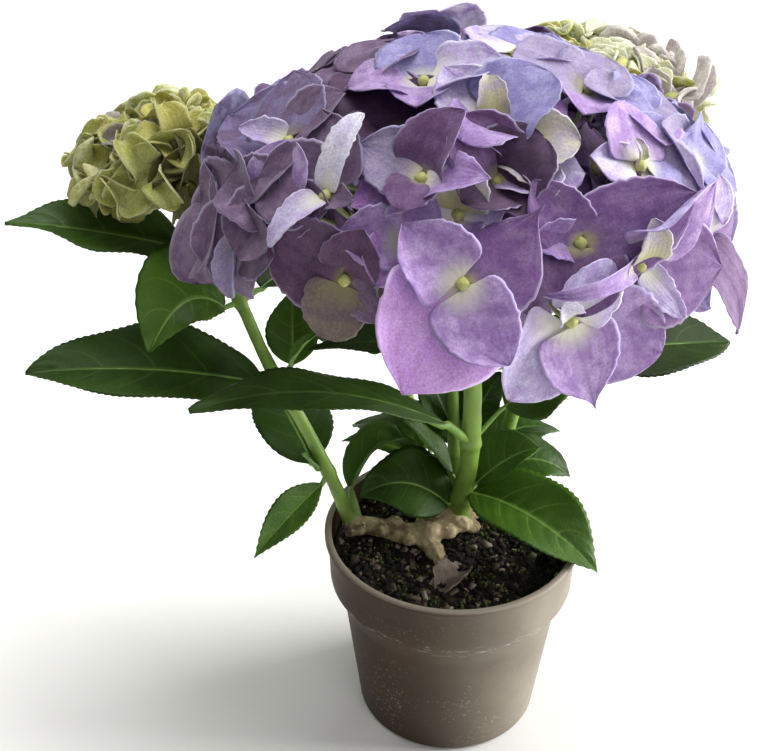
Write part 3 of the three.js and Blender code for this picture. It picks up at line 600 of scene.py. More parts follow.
soil = {
    "level": 90, "gap": 0.3, "heave": 2.5, "rings": 44, "sides": 128, "roughness": 1.5,
    "crumbs": 2600, "crumbSize": (0.9, 3.4), "chips": 90, "chipSize": (3.0, 8.5), "moss": 150, "seed": 5,
    "crumbTones": ["#0f0c09", "#1c1611", "#33291f", "#5c4f40", "#94887a"], "mossTone": "#56662a",
    "crumbTilt": 40, "chipTilt": 35, "chipThick": (0.8, 1.8), "mossTilt": 60, "mossSize": (0.7, 1.5),
    "mossSpread": 2.5, "mossTufts": 4, "edgeGap": 1.2,
}


def soilHeight(x, y):
    low = soil["heave"] * math.sin(x * 0.13 + 1) * math.cos(y * 0.11 - x * 0.05)
    rough = noise.fractal((x * 0.16, y * 0.16, 3.0), 0.9, 2.2, 4)
    return soil["level"] + low * 0.8 + soil["roughness"] * rough


def innerRadius(height):
    wall = pot["wall"] + soil["gap"]
    collarR, collarZ = pot["collar"]
    top = pot["rim"] - pot["lip"] - wall
    return mix(collarR - wall, top, (height - collarZ) / (pot["height"] - collarZ))


# Peat: damp, dark and matt, with tan flecks of fibre
def soilMaterial():
    return mottledMaterial("damp_peat", "#17120d", "#2b211a", "#57493b", (7 * mm, 2.2 * mm, 0.8 * mm), 0.95,
                           0.5 * mm, 0.22)


def buildSoil():
    wall = pot["wall"] + soil["gap"]
    edge = innerRadius(soil["level"]) - 0.4
    profile = [(pot["foot"] - wall, wall), (pot["shoulder"][0] - wall, pot["shoulder"][1])]
    profile += [(pot["collar"][0] - wall, pot["collar"][1]), (edge, soil["level"] - 1)]
    bpy.ops.object.select_all(action="DESELECT")
    bpy.ops.mesh.primitive_circle_add(vertices=soil["sides"], radius=profile[0][0] * mm,
                                      location=(0, 0, wall * mm), fill_type="NGON")
    piece = bpy.context.object
    piece.name = "potting_soil_peat"
    bpy.ops.object.mode_set(mode="EDIT")
    bpy.ops.mesh.select_all(action="SELECT")
    bpy.ops.mesh.delete(type="ONLY_FACE")
    bpy.ops.mesh.select_all(action="SELECT")
    tops = [(mix(edge, 0.6, k / soil["rings"]), soil["level"]) for k in range(soil["rings"] + 1)]
    raiseRing(profile[0][0], profile + tops)
    closeEnds()
    bpy.ops.object.mode_set(mode="OBJECT")
    bpy.ops.object.transform_apply()
    for vertex in piece.data.vertices:
        x, y, z = vertex.co / mm
        if z > soil["level"] - 0.5:
            inside = clamp((edge - math.hypot(x, y)) / 4, 0, 1)
            vertex.co.z = mix(soil["level"] + 1, soilHeight(x, y), inside) * mm
    piece.data.materials.append(soilMaterial())
    bpy.ops.object.shade_smooth()
    finishPiece(piece, ["potting_soil"])


# A lump: a box with its corners pushed about
lumpFaces = np.array([[0, 2, 3, 1], [4, 5, 7, 6], [0, 1, 5, 4], [2, 6, 7, 3], [0, 4, 6, 2], [1, 3, 7, 5]])


def lump(middle, sizes, turn, draw, slot):
    corners = np.array([[x, y, z] for x in (-1, 1) for y in (-1, 1) for z in (-1, 1)], float)
    corners *= np.array([[draw(0.55, 1.1) for _ in range(3)] for _ in range(8)])
    corners *= np.array(sizes) / 2
    a, e = math.radians(turn[0]), math.radians(turn[1])
    spin = np.array([[math.cos(a), -math.sin(a), 0], [math.sin(a), math.cos(a), 0], [0, 0, 1]])
    tip = np.array([[1, 0, 0], [0, math.cos(e), -math.sin(e)], [0, math.sin(e), math.cos(e)]])
    square = np.array([[0, 0], [1, 0], [1, 1], [0, 1]], float)
    return {
        "points": corners @ (spin @ tip).T + middle, "faces": lumpFaces.copy(),
        "corners": np.tile(square, (6, 1, 1)), "slots": np.full(6, slot), "islands": np.zeros(6, int),
    }


def buildCrumbs():
    draw = seeded(soil["seed"])
    moss = len(soil["crumbTones"])
    materials = []
    # Crumbs: peat from wet and black to dry and grey, and dull green moss, all matt
    for k, tone in enumerate(soil["crumbTones"] + [soil["mossTone"]]):
        name = "moss_tuft" if k == moss else f"peat_crumb_{k + 1}"
        materials.append(mottledMaterial(name, tone, tone, "#0f0c09", (2 * mm, 0.9 * mm, 0.5 * mm), 0.95,
                                         0.3 * mm, 0.25))
    edge = innerRadius(soil["level"]) - soil["edgeGap"]
    parts = []

    def tilted(most):
        return draw(0, 360), draw(-most, most)

    def spot():
        radius, azimuth = edge * math.sqrt(draw(0, 0.97)), draw(0, 2 * math.pi)
        return radius * math.cos(azimuth), radius * math.sin(azimuth)
    for _ in range(soil["crumbs"]):
        x, y = spot()
        size = mix(*soil["crumbSize"], draw() ** 2.2)
        tone = min(int(draw() ** 2.5 * moss), moss - 1)
        sizes = (size, size * draw(0.6, 1), size * draw(0.5, 0.9))
        parts.append(lump((x, y, soilHeight(x, y) + size * 0.12), sizes, tilted(soil["crumbTilt"]), draw, tone))
    for _ in range(soil["chips"]):
        x, y = spot()
        size = draw(*soil["chipSize"])
        sizes = (size, size * draw(0.3, 0.6), draw(*soil["chipThick"]))
        parts.append(lump((x, y, soilHeight(x, y) + 0.9), sizes, tilted(soil["chipTilt"]), draw,
                          1 + min(int(draw() ** 1.5 * (moss - 1)), moss - 2)))
    for _ in range(soil["moss"]):
        x, y = spot()
        spread = soil["mossSpread"]
        for _ in range(soil["mossTufts"]):
            size = draw(*soil["mossSize"])
            near = (x + draw(-spread, spread), y + draw(-spread, spread))
            if math.hypot(*near) > edge - 1:
                continue
            parts.append(lump((*near, soilHeight(*near) + 0.5), (size, size * 0.5, size * 1.3),
                              tilted(soil["mossTilt"]), draw, moss))
    makePiece("soil_crumbs", parts, materials, [])


# The curled dead leaf that lies on the soil at the front
deadLeaf = {"middle": (0, -22), "length": 25, "width": 19, "curl": 150, "turn": 55, "rise": 0.9, "thick": 0.5}


def buildDeadLeaf():
    d = deadLeaf
    t = np.linspace(0, 1, 25)[:, None]
    s = np.linspace(-1, 1, 21)[None, :]
    half = d["width"] / 2 * np.sin(math.pi * np.clip(t, 0.03, 0.97) ** 0.8) ** 0.7
    half = half * (1 + 0.10 * np.sin(t * 31) + 0.05 * np.sin(t * 63))
    curl = math.radians(d["curl"]) / 2
    x = (t - 0.5) * d["length"] + 0 * s
    y = half * np.sin(curl * s) / curl * 1.1
    z = half * (1 - np.cos(curl * s)) / curl * 1.2 + 2.4 * np.sin(t * 4) + 0.5 * np.sin(t * 22 + s * 7)
    a = math.radians(d["turn"])
    mx, my = d["middle"]
    px = mx + x * math.cos(a) - y * math.sin(a)
    py = my + x * math.sin(a) + y * math.cos(a)
    pz = soilHeight(mx, my) + d["rise"] + z
    points = np.stack([px, py, np.broadcast_to(pz, px.shape)], -1)
    # Dry leaf: brittle, dull tissue gone grey-brown
    skin = mottledMaterial("dry_leaf", "#8b7f73", "#6b5c4f", "#41362c", (5 * mm, 2.5 * mm, 0.5 * mm), 0.85,
                           0.25 * mm, 0.3)
    makePiece("dead_leaf", [thinBody(points, d["thick"], [0, 0])], [skin], [])


buildSoil()
buildCrumbs()
buildDeadLeaf()
print("soil, crumbs and dead leaf")

# Old wood: gnarled limbs over the soil, as one rough bark-covered mass

woodLimbs = [
    [(-49.5, 4, 97.5, 4.4), (-45, 7, 98, 5.4), (-34, 8, 96, 4.8), (-20, 6, 94, 5.6), (-6, 10, 94, 6.6),
     (5, 16, 93, 6.4)],
    [(-16, 7, 93, 5.0), (-8, -3, 91, 5.2), (-5, -10, 87, 4.4)],
    [(3, 15, 93, 6.0), (13, 27, 93, 5.0), (22, 38, 92, 4.8)],
    [(-14, 8, 93, 5.0), (-12, 20, 93, 4.4), (-11, 30, 92, 4.2)],
    [(4, 17, 93, 5.6), (4, 30, 93, 4.6), (3, 40, 92, 4.4)],
]
# Knobs and cut stubs that stand on the limbs: x, y, z, radius
woodKnobs = [
    (-44, 4, 99, 4.6), (-34, 4, 98, 4.2), (-27, 9, 98, 4.6), (-20, 1, 95, 4.4), (-10, 4, 97, 5.4),
    (-2, 6, 96, 5.2), (4, 10, 97, 5.6), (10, 12, 94, 4.6), (-5, -10, 89, 4.0), (-1, 14, 99, 5.4),
    (14, 25, 96, 4.4), (22, 38, 93, 4.8), (-48, 9, 97, 4.2), (6, 22, 96, 5.0), (-12, 24, 95, 4.4),
]
wood = {
    "voxel": 0.75, "softenings": 3, "barkDepth": 1.1, "barkSize": 3.4, "knotDepth": 1.6, "knotSize": 9.0,
    "knobStretch": (1.1, 0.95, 0.85),
}


# A limb along rows of x, y, z, radius: a curve with a round bevel, made a mesh
def limbAlong(rows, sides=12, steps=8):
    bpy.ops.object.select_all(action="DESELECT")
    bpy.ops.curve.primitive_bezier_curve_add(location=(0, 0, 0))
    limb = bpy.context.object
    limb.data.splines.clear()
    spline = limb.data.splines.new("BEZIER")
    spline.bezier_points.add(len(rows) - 1)
    spline.radius_interpolation = "EASE"
    for point, (x, y, z, radius) in zip(spline.bezier_points, rows):
        point.co = (x * mm, y * mm, z * mm)
        point.handle_left_type = point.handle_right_type = "AUTO"
        point.radius = radius * mm
    limb.data.dimensions = "3D"
    limb.data.bevel_depth = 1.0
    limb.data.bevel_resolution = sides // 4
    limb.data.resolution_u = steps
    limb.data.use_fill_caps = True
    bpy.ops.object.convert(target="MESH")
    return bpy.context.object


# Pushes a piece's skin in and out by a cloud texture
def displace(piece, size, depth, **settings):
    texture = bpy.data.textures.new(f"{piece.name}_clouds", "CLOUDS")
    texture.noise_scale = size * mm
    for key, value in settings.items():
        setattr(texture, key, value)
    change = piece.modifiers.new("relief", "DISPLACE")
    change.texture = texture
    change.texture_coords = "LOCAL"
    change.strength = depth * mm
    bpy.ops.object.modifier_apply(modifier=change.name)
    bpy.data.textures.remove(texture)


# Bark: old and dry, matt, in pale and brown patches with pale specks
def barkMaterial():
    return mottledMaterial("flaking_grey_bark", "#cdbc93", "#77654a", "#d9d49c", (6 * mm, 3.4 * mm, 0.7 * mm),
                           0.9, 0.6 * mm, 0.35)


def buildWood():
    limbs = [limbAlong(rows) for rows in woodLimbs]
    for x, y, z, radius in woodKnobs:
        bpy.ops.mesh.primitive_uv_sphere_add(segments=16, ring_count=10, radius=radius * mm,
                                             location=(x * mm, y * mm, z * mm))
        bpy.ops.transform.resize(value=wood["knobStretch"])
        limbs.append(bpy.context.object)
    onlySelect(*limbs)
    bpy.ops.object.join()
    bpy.ops.object.transform_apply()
    piece = bpy.context.object
    piece.name = "old_wood"
    remesh = piece.modifiers.new("whole", "REMESH")
    remesh.mode = "VOXEL"
    remesh.voxel_size = wood["voxel"] * mm
    bpy.ops.object.modifier_apply(modifier=remesh.name)
    soften = piece.modifiers.new("soften", "SMOOTH")
    soften.iterations = wood["softenings"]
    bpy.ops.object.modifier_apply(modifier=soften.name)
    displace(piece, wood["knotSize"], wood["knotDepth"])
    displace(piece, wood["barkSize"], wood["barkDepth"], noise_basis="VORONOI_F2_F1")
    bpy.ops.object.shade_smooth()
    piece.data.materials.clear()
    piece.data.materials.append(barkMaterial())
    finishPiece(piece, ["woody_base"])


buildWood()
print("old wood")

# Stems: the foot on the old wood, then leaf nodes (marked True) up to the flower head's foot

stems = {
    "centre": [
        (4, 16, 96, 5.6), (5, 15, 109, 6.2, True), (7.5, 13, 128, 4.3), (8, 12, 143, 5.4, True),
        (8, 10, 164, 4.2), (7, 8, 185, 5.0, True), (6.6, 5, 200, 3.9),
    ],
    "left": [
        (-48, 8, 100, 3.6), (-58, 12, 126, 3.7, True), (-71, 16, 154, 2.9), (-80, 19, 171, 3.7, True),
        (-89, 25, 189, 2.7), (-97, 32, 206, 3.4, True), (-105, 38, 218, 2.5), (-113, 44, 230, 3.2, True),
        (-119, 48, 238, 2.4),
    ],
    "right": [
        (22, 38, 94, 4.0), (29, 48, 124, 3.4), (36, 57, 150, 4.2, True), (43, 68, 178, 3.0),
        (52, 80, 205, 3.8, True), (60, 94, 230, 2.7),
    ],
    "young": [(-11, 31, 93, 3.0), (-13, 33, 116, 3.4, True), (-18, 36, 144, 2.3), (-27, 37, 173, 2.8, True)],
    "back": [
        (3, 41, 94, 3.6), (3, 45, 113, 4.0, True), (2, 50, 136, 2.9), (0, 62, 172, 3.5, True),
        (-2, 70, 190, 2.4), (-4, 77, 204, 2.8, True),
    ],
}
stemPieceCounts = {"centre": 4, "left": 5, "right": 3, "young": 2, "back": 3}  # the CAD nodes of each stem
stemShape = {"nodeHalf": 4.5, "nodeEnd": 0.84, "sides": 20, "steps": 6, "bumpSize": 6.0, "bumpDepth": 0.5}


# The stem's skin rows: a node swells over a short stretch
def stemRows(rows):
    points = [np.array(row[:3], float) for row in rows]
    out = []
    for k, row in enumerate(rows):
        if len(row) < 5:
            out.append(row[:4])
            continue
        up = unit(points[min(k + 1, len(rows) - 1)] - points[k - 1])
        for reach, share in ((-1, stemShape["nodeEnd"]), (0, 1.0), (1, stemShape["nodeEnd"])):
            out.append((*(points[k] + up * stemShape["nodeHalf"] * reach), row[3] * share))
    return out


# Green stem: smooth satin skin, yellow-green, streaked along its length and dotted with dark lenticels
stemSkin = mottledMaterial("green_stem_skin", "#86a548", "#688a33", "#3f4a20", (11 * mm, 1.9 * mm, 0.6 * mm),
                           0.42, 0.12 * mm, 0.2, (1.0, 1.0, 0.45))


def buildStem(name, rows):
    piece = limbAlong(stemRows(rows), stemShape["sides"], stemShape["steps"])
    piece.name = f"stem_{name}"
    displace(piece, stemShape["bumpSize"], stemShape["bumpDepth"])
    bpy.ops.object.shade_smooth()
    piece.data.materials.clear()
    piece.data.materials.append(stemSkin)
    nodes = [f"stem_{name}_{k + 1}" for k in range(stemPieceCounts[name])]
    finishPiece(piece, nodes)


for name, rows in stems.items():
    buildStem(name, rows)
print("stems")

# Leaves by node: blade foot, blade tip, arch (mm), width (mm), roll and fold (degrees), and tint

leaves = {
    "centre_low": [
        ((10, 12, 114), (65, -29, 100), 8, 46, 8, 16, "fresh"),
        ((-1, 12, 107), (-44, 8, 114), 11, 38, -30, 8, "dark"),
        ((12, 17, 116), (42, 21, 134), 4, 34, 15, 30, "fresh"),
        ((27, 34, 114), (60, 34, 107), 7, 30, 15, 10, "dark"),
        ((1, 22, 118), (-23, 27, 146), 2, 24, 10, 12, "dark"),
    ],
    "centre_middle": [
        ((-5, 0, 162), (-111, -45, 198), 13, 36, 0, 4, "dark"),
        ((23, 14, 162), (56, 18, 170), 4, 34, 25, 8, "fresh"),
    ],
    "centre_top": [
        ((46, 14, 190), (126, 30, 187), 1, 46, 10, 10, "shaded"),
        ((-12, 16, 193), (-66, 17, 190), 3, 27, 0, 10, "dark"),
    ],
    "left_low": [
        ((-66, 17, 128), (-92, 62, 148), 4, 40, 0, 8, "dark"),
        ((-61, 8, 122), (-91, -25, 105), 2, 21, -35, 20, "fresh"),
        ((-63, 10, 129), (-70, 7, 140), 1, 9, 0, 20, "young"),
    ],
    "left_middle": [
        ((-88, 18, 172), (-192, 10, 182), 5, 52, -13, 14, "dark"),
        ((-74, 27, 176), (-74, 45, 205), 2, 26, 0, 15, "fresh"),
        ((-75, 21, 180), (-62, 24, 194), 2, 9, 0, 30, "young"),
    ],
    "left_high": [
        ((-103, 27, 206), (-132, -8, 203), 14, 52, -38, 12, "fresh"),
        ((-88, 42, 208), (-54, 78, 206), 5, 40, 0, 10, "dark"),
    ],
    "left_top": [
        ((-121, 42, 228), (-196, 30, 247), 2, 46, -4, 6, "dark"),
        ((-108, 54, 232), (-88, 104, 226), 6, 40, 0, 10, "dark"),
    ],
    "right_low": [
        ((44, 64, 152), (88, 108, 148), 8, 42, 0, 10, "dark"),
        ((27, 68, 152), (2, 118, 142), 8, 40, 0, 10, "dark"),
    ],
    "right_high": [
        ((72, 76, 202), (138, 66, 200), 5, 38, 0, 10, "dark"),
        ((44, 92, 208), (18, 146, 208), 8, 42, 0, 10, "dark"),
    ],
    "young_low": [
        ((-19, 38, 118), (-53, 42, 123), 3, 18, 0, 10, "fresh"),
        ((-8, 40, 120), (-30, 78, 124), 6, 26, 0, 10, "fresh"),
    ],
    "young_top": [
        ((-30, 40, 179), (-38, 45, 212), 0, 24, 0, 10, "fresh"),
        ((-33, 38, 177), (-64, 44, 180), 4, 28, 0, 10, "fresh"),
        ((-30, 33, 178), (-44, 30, 203), 2, 9, 0, 25, "young"),
        ((-26, 34, 178), (-33, 30, 193), 1, 7, 0, 25, "young"),
    ],
    "back_low": [
        ((2, 50, 124), (-14, 66, 152), 3, 32, 0, 10, "dark"),
        ((10, 49, 124), (26, 62, 150), 3, 28, 0, 10, "dark"),
        ((4, 54, 112), (4, 108, 104), 10, 40, 0, 10, "dark"),
        ((16, 50, 112), (60, 78, 104), 8, 36, 0, 10, "dark"),
        ((-8, 52, 112), (-48, 82, 104), 8, 36, 0, 10, "dark"),
    ],
    "back_high": [
        ((-10, 68, 174), (-60, 98, 168), 8, 42, 0, 10, "dark"),
        ((10, 70, 176), (30, 118, 172), 8, 40, 0, 10, "dark"),
    ],
    "back_top": [
        ((-10, 82, 208), (-30, 122, 204), 6, 30, 0, 12, "fresh"),
        ((2, 84, 210), (14, 104, 222), 2, 20, 0, 15, "young"),
        ((-8, 76, 210), (-28, 80, 222), 2, 18, 0, 15, "young"),
    ],
}
# The short shoot that springs from the old wood, with one leaf
shoot = {
    "bud": (-47, 15, 107), "leaf": ((-48, 19, 112), (-18, 35, 119), 17, 24, 0, 40, "fresh"),
    "stalk": [(-45, 11, 99), (-46, 13, 103), (-47, 15, 107), (-48, 18, 111)], "radii": [2.8, 2.6, 2.4, 1.6],
}
leafShape = {
    "thick": 0.45, "columns": 17, "leastHalf": 0.25, "usualLength": 60, "usualWidth": 40,
    "toothPitch": 3.0, "teeth": (5, 34), "toothDepth": 0.75, "toothLean": 0.6, "toothLength": 70,
    "quilt": 0.55, "groove": 0.7, "grooveWidth": 1.1,
    "edgeWave": 1.5, "waves": (1.6, 2.6), "waveStrength": (0.5, 1.2),
    "petiole": 1.7, "stalkStep": 2.5, "rib": (0.95, 0.16), "ribPoints": 14,
}
# A blade's form: where it is widest, how blunt its tip is, and the share of its width on either side. Some
# leaves, named by node and place there, have a form of their own.
usualForm = (0.74, 0.85, 1.0, 1.0)
leafForms = {
    ("left_middle", 0): (0.88, 0.62, 1.0, 1.0), ("centre_middle", 0): (1.05, 0.5, 1.0, 1.0),
    ("left_high", 0): (0.80, 0.75, 0.5, 1.05), ("left_low", 1): (0.9, 0.9, 0.8, 1.0),
    ("centre_top", 0): (0.95, 0.6, 1.0, 1.15), ("left_top", 0): (0.66, 0.8, 0.95, 1.3),
    ("centre_low", 0): (0.86, 0.7, 1.0, 1.0),
}
# Tint: upper face, its shade, veins, roughness, then the same for the underside
leafTints = {
    "dark": ("#35540f", "#284309", "#557434", 0.48, "#587a3a", "#4d6b33", "#86a866", 0.6),
    "shaded": ("#263b0b", "#1c2f07", "#42602a", 0.5, "#4c6b33", "#42602c", "#7b9c5c", 0.6),
    "fresh": ("#446714", "#36550e", "#698c38", 0.48, "#64894a", "#56793e", "#93b67a", 0.6),
    "young": ("#668f3a", "#54802e", "#93b45c", 0.45, "#7ea35c", "#6f964e", "#a9c48a", 0.6),
}
leafSkins = []
for name, (top, topShade, topVein, topRough, low, lowShade, lowVein, lowRough) in leafTints.items():
    leafSkins.append(leafMaterial(f"leaf_upper_{name}", top, topShade, topVein, topRough))
    leafSkins.append(leafMaterial(f"leaf_under_{name}", low, lowShade, lowVein, lowRough, True))
# Leaf stalk: smooth, hairless green skin with a satin gloss
petioleSkin = mottledMaterial("leaf_stalk_skin", "#86a850", "#6d9340", "#54702e", (6 * mm, 2 * mm, 0.5 * mm),
                              0.45, 0.1 * mm, 0.2)
leafSkins.append(petioleSkin)


def bladeShape(t, widest, blunt):
    return np.sin(math.pi * t ** widest) ** blunt * (1 - 0.2 * t * t)


def leafParts(node, row, draw, form=usualForm):
    foot, tip, arch, width, roll, fold, tint = row
    widest, blunt, near, far = form
    shape = leafShape
    start, foot, tip = (np.array(p, float) for p in (node, foot, tip))
    length = np.linalg.norm(tip - foot)
    heading = unit([tip[0] - foot[0], tip[1] - foot[1], 0])
    across = np.cross(heading, (0, 0, 1))
    lift = (foot + tip) / 2 + np.array([0, 0, 2 * arch])
    teeth = int(clamp(round(length / shape["toothPitch"]), *shape["teeth"]))
    rows, cols = 3 * teeth + 1, shape["columns"]
    t = np.linspace(0, 1, rows)
    middle = ((1 - t)[:, None] ** 2 * foot + (2 * t * (1 - t))[:, None] * lift + (t * t)[:, None] * tip)
    along = unit(np.gradient(middle, axis=0))
    side = unit(across - along * (along @ across)[:, None])
    turn = math.radians(roll)
    side = side * math.cos(turn) + np.cross(along, side) * math.sin(turn)
    face = np.cross(side, along)
    half = width / 2 * bladeShape(np.clip(t, 0.004, 0.9965), widest, blunt) * (1 - 0.35 * t ** 12)
    half = np.maximum(half, shape["leastHalf"])
    s = np.linspace(-1, 1, cols)
    s = np.sign(s) * np.abs(s) ** 0.9
    margin = np.abs(s)[None, :] ** 6
    # Teeth lean towards the tip: each is three rows long and breaks off behind
    ramp = (np.arange(rows) % 3) / 2
    tooth = shape["toothDepth"] * clamp(length / shape["toothLength"], 0.35, 1) * (ramp - 0.5)
    tooth = tooth * smooth(t, 0.06, 0.16) * (1 - smooth(t, 0.93, 0.99))
    w = half[:, None] * (s * np.where(s < 0, near, far))[None, :]
    w = w + np.sign(s)[None, :] * margin * tooth[:, None]
    lean = margin * np.abs(tooth)[:, None] * shape["toothLean"]
    size = clamp(width / shape["usualWidth"], 0.3, 1.2)
    wave = shape["edgeWave"] * size
    rise = np.abs(w) * math.sin(math.radians(fold)) * np.abs(s)[None, :] ** 0.25
    lag = leafLook["veinSlant"] * np.abs(s)[None, :]
    level = (t[:, None] - lag - leafLook["veinBow"] * s[None, :] ** 2) * leafLook["sideVeins"]
    window = np.clip(np.abs(s)[None, :] * 6, 0, 1) * (1 - 0.7 * np.abs(s)[None, :] ** 4)
    rise = rise + shape["quilt"] * size * (np.abs(np.sin(math.pi * level)) ** 0.7 - 0.5) * window
    rise = rise - shape["groove"] * size * np.exp(-(w / (shape["grooveWidth"] * size)) ** 2)
    turns = draw(*shape["waves"])
    for sign in (-1, 1):
        phase, strength = draw(0, 6.28), draw(*shape["waveStrength"])
        edge = np.clip(sign * s, 0, 1)[None, :] ** 2.2
        rise = rise + wave * strength * edge * np.sin(turns * 2 * math.pi * t + phase)[:, None]
    out = w * math.cos(math.radians(fold) * 0.9)
    points = middle[:, None, :] + side[:, None, :] * out[..., None] + face[:, None, :] * rise[..., None]
    points = points + along[:, None, :] * lean[..., None]
    number = list(leafTints).index(tint) * 2
    blade = thinBody(points, shape["thick"], [number, number + 1])
    # The stalk runs on under the blade as its midrib
    stalkSteps = max(4, int(np.linalg.norm(foot - start) / shape["stalkStep"]))
    lead = [mix(start, foot, k / stalkSteps) for k in range(stalkSteps)]
    picks = np.linspace(0, rows - 3, shape["ribPoints"]).astype(int)
    radius = shape["petiole"] * clamp(length / shape["usualLength"], 0.45, 1.15)
    ribs = [middle[k] - face[k] * radius * mix(0.85, 0.5, t[k]) for k in picks]
    wide = [radius * mix(1.5, 1.0, clamp(k / stalkSteps * 1.6, 0, 1)) for k in range(stalkSteps)]
    thin = [radius * mix(*shape["rib"], t[k] ** 0.8) for k in picks]
    stalk = tube(lead + ribs, wide + thin, 8, len(leafTints) * 2)
    return [blade, stalk]


# The marked nodes of each stem, from the foot up
stemNodes = {
    "centre": ("low", "middle", "top"), "left": ("low", "middle", "high", "top"), "right": ("low", "high"),
    "young": ("low", "top"), "back": ("low", "high", "top"),
}


def nodeAt(name):
    stem, place = name.split("_")
    marked = [row for row in stems[stem] if len(row) == 5]
    return marked[stemNodes[stem].index(place)][:3]


leafDraw = seeded(19)
for name, rows in leaves.items():
    parts = []
    for number, row in enumerate(rows):
        parts += leafParts(nodeAt(name), row, leafDraw, leafForms.get((name, number), usualForm))
    makePiece(f"leaves_of_{name}", parts, leafSkins, [f"leaves_{name}"])
parts = leafParts(shoot["bud"], shoot["leaf"], leafDraw)
parts.append(tube(shoot["stalk"], shoot["radii"], 8, len(leafTints) * 2))
makePiece("leaves_of_base", parts, leafSkins, ["leaves_base"])
print("leaves")

# Flower heads: a dome of four-sepal florets on stalks that spring from the hub's branches

heads = {
    "lilac": {
        "middle": (0, -14, 275), "reach": (95, 87, 59), "stem": "centre", "hub": (6.4, 2, 219),
        "stemRadius": 3.8, "branchReach": 0.5, "fill": 62, "lowest": -34, "spacing": 31,
        "inner": (24, 30), "outer": (30, 37), "seed": 11,
        # azimuth and elevation on the dome, turn of the face (azimuth, elevation), roll, inner and outer sepal
        # length, cup
        "placed": [
            (-94, 11, -10, 16, 44, 30, 41, 8), (-72, -4, 0, 14, 18, 30, 38, 12),
            (-56, 10, 0, 0, -50, 28, 40, 14), (-67, 19, -14, 4, 40, 24, 36, 20),
            (-86, 59, 0, -10, -50, 28, 34, 30), (-77, 52, 0, 0, -20, 24, 34, 20),
            (-43, 37, 0, 0, -10, 28, 36, 18), (-85, 41, 10, 0, 30, 22, 28, 35),
            (-106, 40, -10, 0, 60, 28, 34, 15), (-96, 30, 0, 0, 10, 24, 26, 30),
            (-128, 30, -10, 5, 70, 28, 32, 18), (-120, 5, 10, 0, 80, 28, 34, 10),
            (-108, 20, 10, 0, 40, 26, 30, 20), (-154, 39, 0, 0, 20, 28, 38, 15),
            (-153, 8, 0, 0, 50, 30, 34, 15), (-127, 56, 0, 0, 20, 28, 32, 15), (96, 46, 0, 0, 60, 24, 30, 20),
            (-129, 72, 0, 0, -30, 26, 30, 20), (-170, 66, 0, 0, 20, 24, 28, 20), (-32, 6, 0, -6, 0, 28, 38, 10),
            (11, 80, 0, 0, 20, 24, 28, 20), (-26, 62, 0, 0, 20, 28, 36, 15), (-19, 28, 0, 0, 30, 24, 30, 15),
            (-16, 51, 0, 0, 50, 22, 28, 15), (-142, 23, 0, 0, 0, 24, 28, 20), (-72, 41, 0, 0, 0, 18, 22, 40),
        ],
    },
    "green_left": {
        "middle": (-130, 56, 266), "reach": (37, 36, 26), "stem": "left", "hub": (-124, 52, 246),
        "stemRadius": 2.4, "branchReach": 0.45, "fill": 38, "lowest": -20, "spacing": 18,
        "inner": (13, 16), "outer": (16, 19), "seed": 23, "placed": [],
    },
    "green_right": {
        "middle": (67, 120, 275), "reach": (54, 50, 26), "stem": "right", "hub": (65, 106, 247),
        "stemRadius": 2.6, "branchReach": 0.45, "fill": 38, "lowest": -20, "spacing": 20,
        "inner": (15, 18), "outer": (18, 22), "seed": 37, "placed": [],
    },
}
headRule = {
    "branches": 7, "branchRise": 8, "footShare": 0.72, "tipShare": 0.4, "rootFirst": 0.06, "rootStep": 0.09,
    "clearance": 24, "turn": (-14, 14), "tilt": (-10, 14), "cup": (8, 26), "spiral": 137.508,
    "openBelow": -9, "openFrom": 190, "openTo": 350, "faceLowest": -30, "faceHighest": 88, "topShare": 0.8,
    "topFrom": 2 / 3, "greenDepth": (0.80, 1.0), "greenStretch": (0.75, 1.25), "branchSag": 0.06,
    "rootLast": 0.85, "stalkShort": 0.6, "stalkBend": 0.35, "longestBend": 16, "stalkRadii": (0.85, 1.0),
    "greenStalk": 0.8,
}
# The finer florets that only this script has: a second layer under the first, by the same rule, and some that
# close the gaps at the back, behind the given y
finer = {
    "lilac": [
        {"fill": 100, "spacing": 22, "depth": 0.64, "size": 0.75, "clearance": 0, "seed": 71},
        {"fill": 220, "spacing": 19, "depth": 0.94, "size": 0.8, "clearance": 0, "seed": 77, "behind": 8},
    ],
    "green_left": [
        {"fill": 76, "spacing": 13, "depth": 1.0, "size": 1.2, "clearance": 2, "seed": 73},
        {"fill": 60, "spacing": 12, "depth": 0.74, "size": 1.1, "clearance": 2, "seed": 75},
    ],
    "green_right": [
        {"fill": 100, "spacing": 15, "depth": 1.0, "size": 1.1, "clearance": 2, "seed": 79},
        {"fill": 70, "spacing": 14, "depth": 0.74, "size": 1.0, "clearance": 2, "seed": 81},
    ],
}


def anglesOf(v):
    return math.degrees(math.atan2(v[1], v[0])), math.degrees(math.asin(v[2]))


def turned(v, azimuth, elevation):
    a, e = anglesOf(v)
    return facing(a + azimuth, clamp(e + elevation, headRule["faceLowest"], headRule["faceHighest"]))


def clearOfLilac(name, head, spot, clearance):
    if name == "lilac":
        return True
    lilac = heads["lilac"]
    space = np.array(lilac["reach"]) + clearance + head["outer"][1]
    return np.linalg.norm((spot - np.array(lilac["middle"])) / space) > 1


